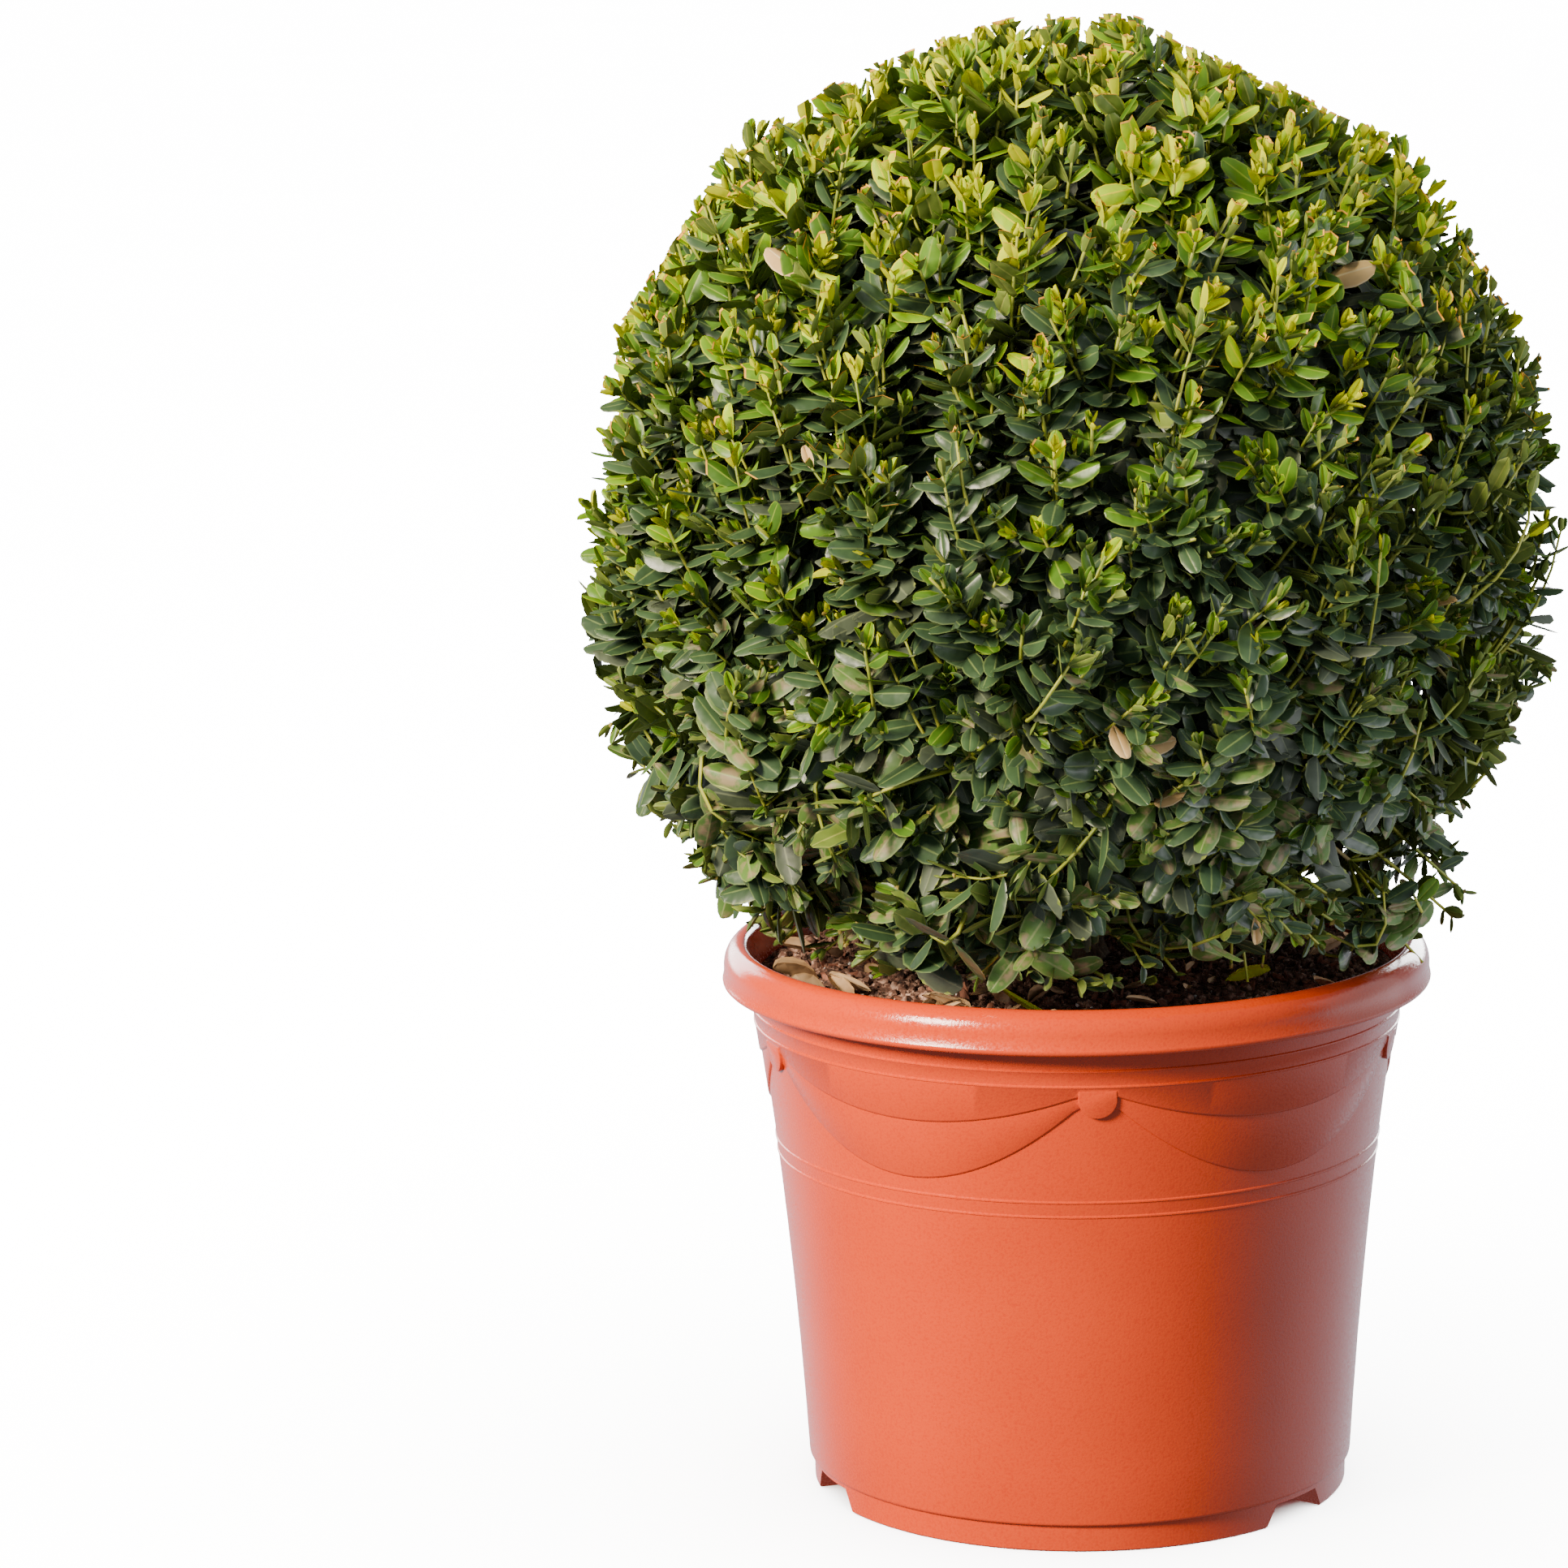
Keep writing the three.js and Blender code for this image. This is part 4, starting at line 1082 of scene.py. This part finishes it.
def leaf_material(name, shade, light, rim, roughness, gloss=0.5, dust=None):
    """A leathery leaf skin: its own tone in blotches with painted shade, a pale midrib, a rim painted as a
    highlight, and any dust.

    The places on a leaf run from -1 to 1 across it, from 0 to 1 along it, and hold its own tint.
    """
    material = new_material(name)
    tree = material.node_tree
    place = add_node(tree, "TexCoord").outputs["Object"]
    on_leaf = add_node(tree, "Attribute", attribute_name="on_leaf").outputs["Vector"]
    across, along, tint = add_node(tree, "SeparateXYZ", links={0: on_leaf}).outputs
    from_rib = add_node(tree, "Math", links={0: across}, operation="ABSOLUTE").outputs[0]
    blotch, ripple = (add_node(tree, "TexNoise", {"Scale": 1 / size, "Detail": detail},
                               {"Vector": place}).outputs["Fac"]
                      for size, detail in ((blotch_size, 3), (ripple_size, 1)))
    own_tone_and_painted_shade = add_node(tree, "Math", {1: 0.45}, {0: tint}, operation="MULTIPLY").outputs[0]
    # Along each leaf the tone climbs from its foot to its tip: painted shade at the foot and painted light
    # towards the tip.
    for part, share in ((blotch, 0.5), (along, 0.18)):
        own_tone_and_painted_shade = add_node(tree, "Math", {1: share}, {0: part, 2: own_tone_and_painted_shade},
                            operation="MULTIPLY_ADD").outputs[0]
    tone = ramp(tree, own_tone_and_painted_shade, [(0.25, shade), (0.85, light)])
    if dust:
        film = add_node(tree, "TexNoise", {"Scale": 1 / film_size, "Detail": 4},
                        {"Vector": place}).outputs["Fac"]
        cover = add_node(tree, "MapRange", {"From Min": 0.46, "From Max": 0.6, "To Max": 0.75},
                         {"Value": film}).outputs[0]
        inside = ramp(tree, from_rib, [(0.5, "#FFFFFF"), (0.9, "#000000")])
        cover = add_node(tree, "Math", links={0: cover, 1: inside}, operation="MULTIPLY").outputs[0]
        tone = add_node(tree, "Mix", {7: linear(dust)}, {0: cover, 6: tone},
                        data_type="RGBA").outputs[2]
    # The pale midrib is the leaf's own colour. The same pale colour laid along the margin is a painted edge
    # highlight.
    rib_and_edge_highlight_lines = ramp(tree, from_rib, [(0.03, "#E0E0E0"), (0.11, "#000000"),
                                  (0.84, "#000000"), (0.95, "#D0D0D0")])
    tone = add_node(tree, "Mix", {7: linear(rim)}, {0: rib_and_edge_highlight_lines, 6: tone}, data_type="RGBA").outputs[2]
    to_edge = add_node(tree, "Math", {0: 1}, {1: from_rib}, operation="SUBTRACT").outputs[0]
    dome = add_node(tree, "Math", links={0: from_rib, 1: to_edge}, operation="MULTIPLY").outputs[0]
    swell = add_node(tree, "Math", {1: 2}, {0: dome, 2: ripple}, operation="MULTIPLY_ADD").outputs[0]
    skin = add_node(tree, "Bump", {"Strength": 0.8, "Distance": 0.0008},
                    {"Height": swell}).outputs["Normal"]
    return finish_material(material, {"Roughness": roughness, "IOR": 1.45, "Specular IOR Level": gloss},
                           {"Base Color": tone, "Normal": skin})


# The third colour of each is its pale midrib. It is also painted along the margin as an edge highlight.
leaf_materials = {
    "young": leaf_material("young_leaf_skin", "#90AC00", "#C8D000", "#D4BE00", 0.5, 0),
    "bright": leaf_material("bright_leaf_skin", "#608C00", "#A4C400", "#D0BE00", 0.38, 0.1),
    "fresh": leaf_material("fresh_leaf_skin", "#3C6408", "#709A0C", "#A8B014", 0.34, 0.25),
    "green": leaf_material("green_leaf_skin", "#2A4C14", "#547C1C", "#7E9430", 0.33, 0.42),
    "dark": leaf_material("dark_leaf_skin", "#263A25", "#405A39", "#6A7E48", 0.35, 0.55),
    "dusty": leaf_material("dusty_leaf_skin", "#305020", "#5A7C34", "#84905A", 0.46, 0.35, "#8E785E"),
    "inner": leaf_material("inner_leaf_skin", "#343E31", "#4E5A46", "#667054", 0.5, 0.4),
    "dry": leaf_material("dry_leaf_skin", "#9C7C44", "#D4B47C", "#E0CC9C", 0.7),
}
for index, kind_name in enumerate(kinds):
    rows_along = inner_stations if kind_name == "inner" else stations
    for name, layer in in_layers(f"{kind_name}_leaves", chosen(leaves, leaves["kind"] == index),
                                 most_leaves_a_piece):
        add_leaf_rows(name, layer, rows_along, 0, True, leaf_materials[kind_name])

# The undersides: the lower skin of each leaf, paler and duller than the upper as it has no gloss. It lies
# just under the blade and meets it at the edges.
young_under_material = leaf_material("young_leaf_underside", "#90A000", "#C0C800", "#D4C800", 0.6, 0.05)
old_under_material = leaf_material("old_leaf_underside", "#526826", "#74863C", "#949C4C", 0.5, 0.2)
is_fresh = leaves["kind"] < 2
for name, mask, material in (("young_undersides", is_fresh, young_under_material),
                             ("old_undersides", ~is_fresh, old_under_material)):
    for piece_name, layer in in_layers(name, chosen(leaves, mask), 2 * most_leaves_a_piece):
        add_leaf_rows(piece_name, layer, under_stations, -leaf_thickness, False, material)
# The cuts: where the shears went through a leaf, its edge has dried to a thin tan line. Each is a narrow
# strip that lies just above the blade.
cut_half_width = 0.48 * mm
cut_lift = 0.12 * mm
cut_leaves = chosen(leaves, leaves["cut0"] < 0.97)
cut_lines = np.concatenate([leaf_column(cut_leaves, side, cut_leaves[f"cut{side}"][:, None] - 0.01)
                            for side in (1, 0, -1)], 1)
cut_lines = cut_lines + cut_leaves["normal"][:, None, :] * cut_lift
cut_width = cut_leaves["direction"][:, None, :] * cut_half_width
cut_points = np.stack([cut_lines - cut_width, cut_lines + cut_width], 2)
cut_faces = grid_faces(len(cut_lines), 3, 2)
cut_material = mottled_material("dried_leaf_cut", 5 * mm, [(0.3, "#C47C1C"), (0.6, "#F0B848")],
                                {"Roughness": 0.8, "Specular IOR Level": 0.2})
finish_foliage(joined_piece("dried_cuts", cut_points.reshape(-1, 3), [cut_faces]), cut_material)

# The litter: dry brown leaves that the shrub has shed, curled and lying on the compost, some of them
# drifted together at the front left, and three that fell while they were still yellow.
shed_material = leaf_material("shed_leaf_skin", "#785634", "#E8C898", "#C8A06C", 0.7, 0.2)
front_drift = [
    (-118, -62), (-104, -84), (-96, -66), (-88, -98), (-72, -84), (-66, -112), (-122, -38), (-58, -98),
]
for name, count, spots, material, shortest, longest in (
    ("shed_leaves", 64, None, shed_material, 12, 21),
    ("drifted_leaves", len(front_drift), front_drift, shed_material, 15, 23),
    ("yellow_shed_leaves", 3, [(-12, -118), (70, -60), (-80, 40)], leaf_materials["young"], 18, 24),
):
    places = soil_places(count, 3 * mm, spots)
    turn = random.uniform(0, 2 * math.pi, count)
    tilt = random.normal(size=(count, 3)) * 0.18
    direction = unit(np.stack([np.cos(turn), np.sin(turn), random.uniform(-0.2, 0.05, count)], 1))
    across = np.cross(up, direction) + tilt
    across = square_to(direction, across)
    litter = {"root": places, "direction": direction, "across": across, "normal": np.cross(direction, across)}
    litter["length"] = random.uniform(shortest, longest, count) * mm
    litter["width"] = litter["length"] * random.uniform(0.3, 0.46, count)
    litter["bend"] = random.uniform(0.1, 0.6, count)
    litter["fold"] = random.uniform(-1.8, -0.6, count)
    litter["tint"] = random.uniform(size=count)
    litter.update({f"cut{side}": np.ones(count) for side in (-1, 0, 1)})
    add_leaf_rows(name, litter, stations, 0, True, material)
    add_leaf_rows(name + "_undersides", litter, under_stations, -0.3 * mm, False, material)
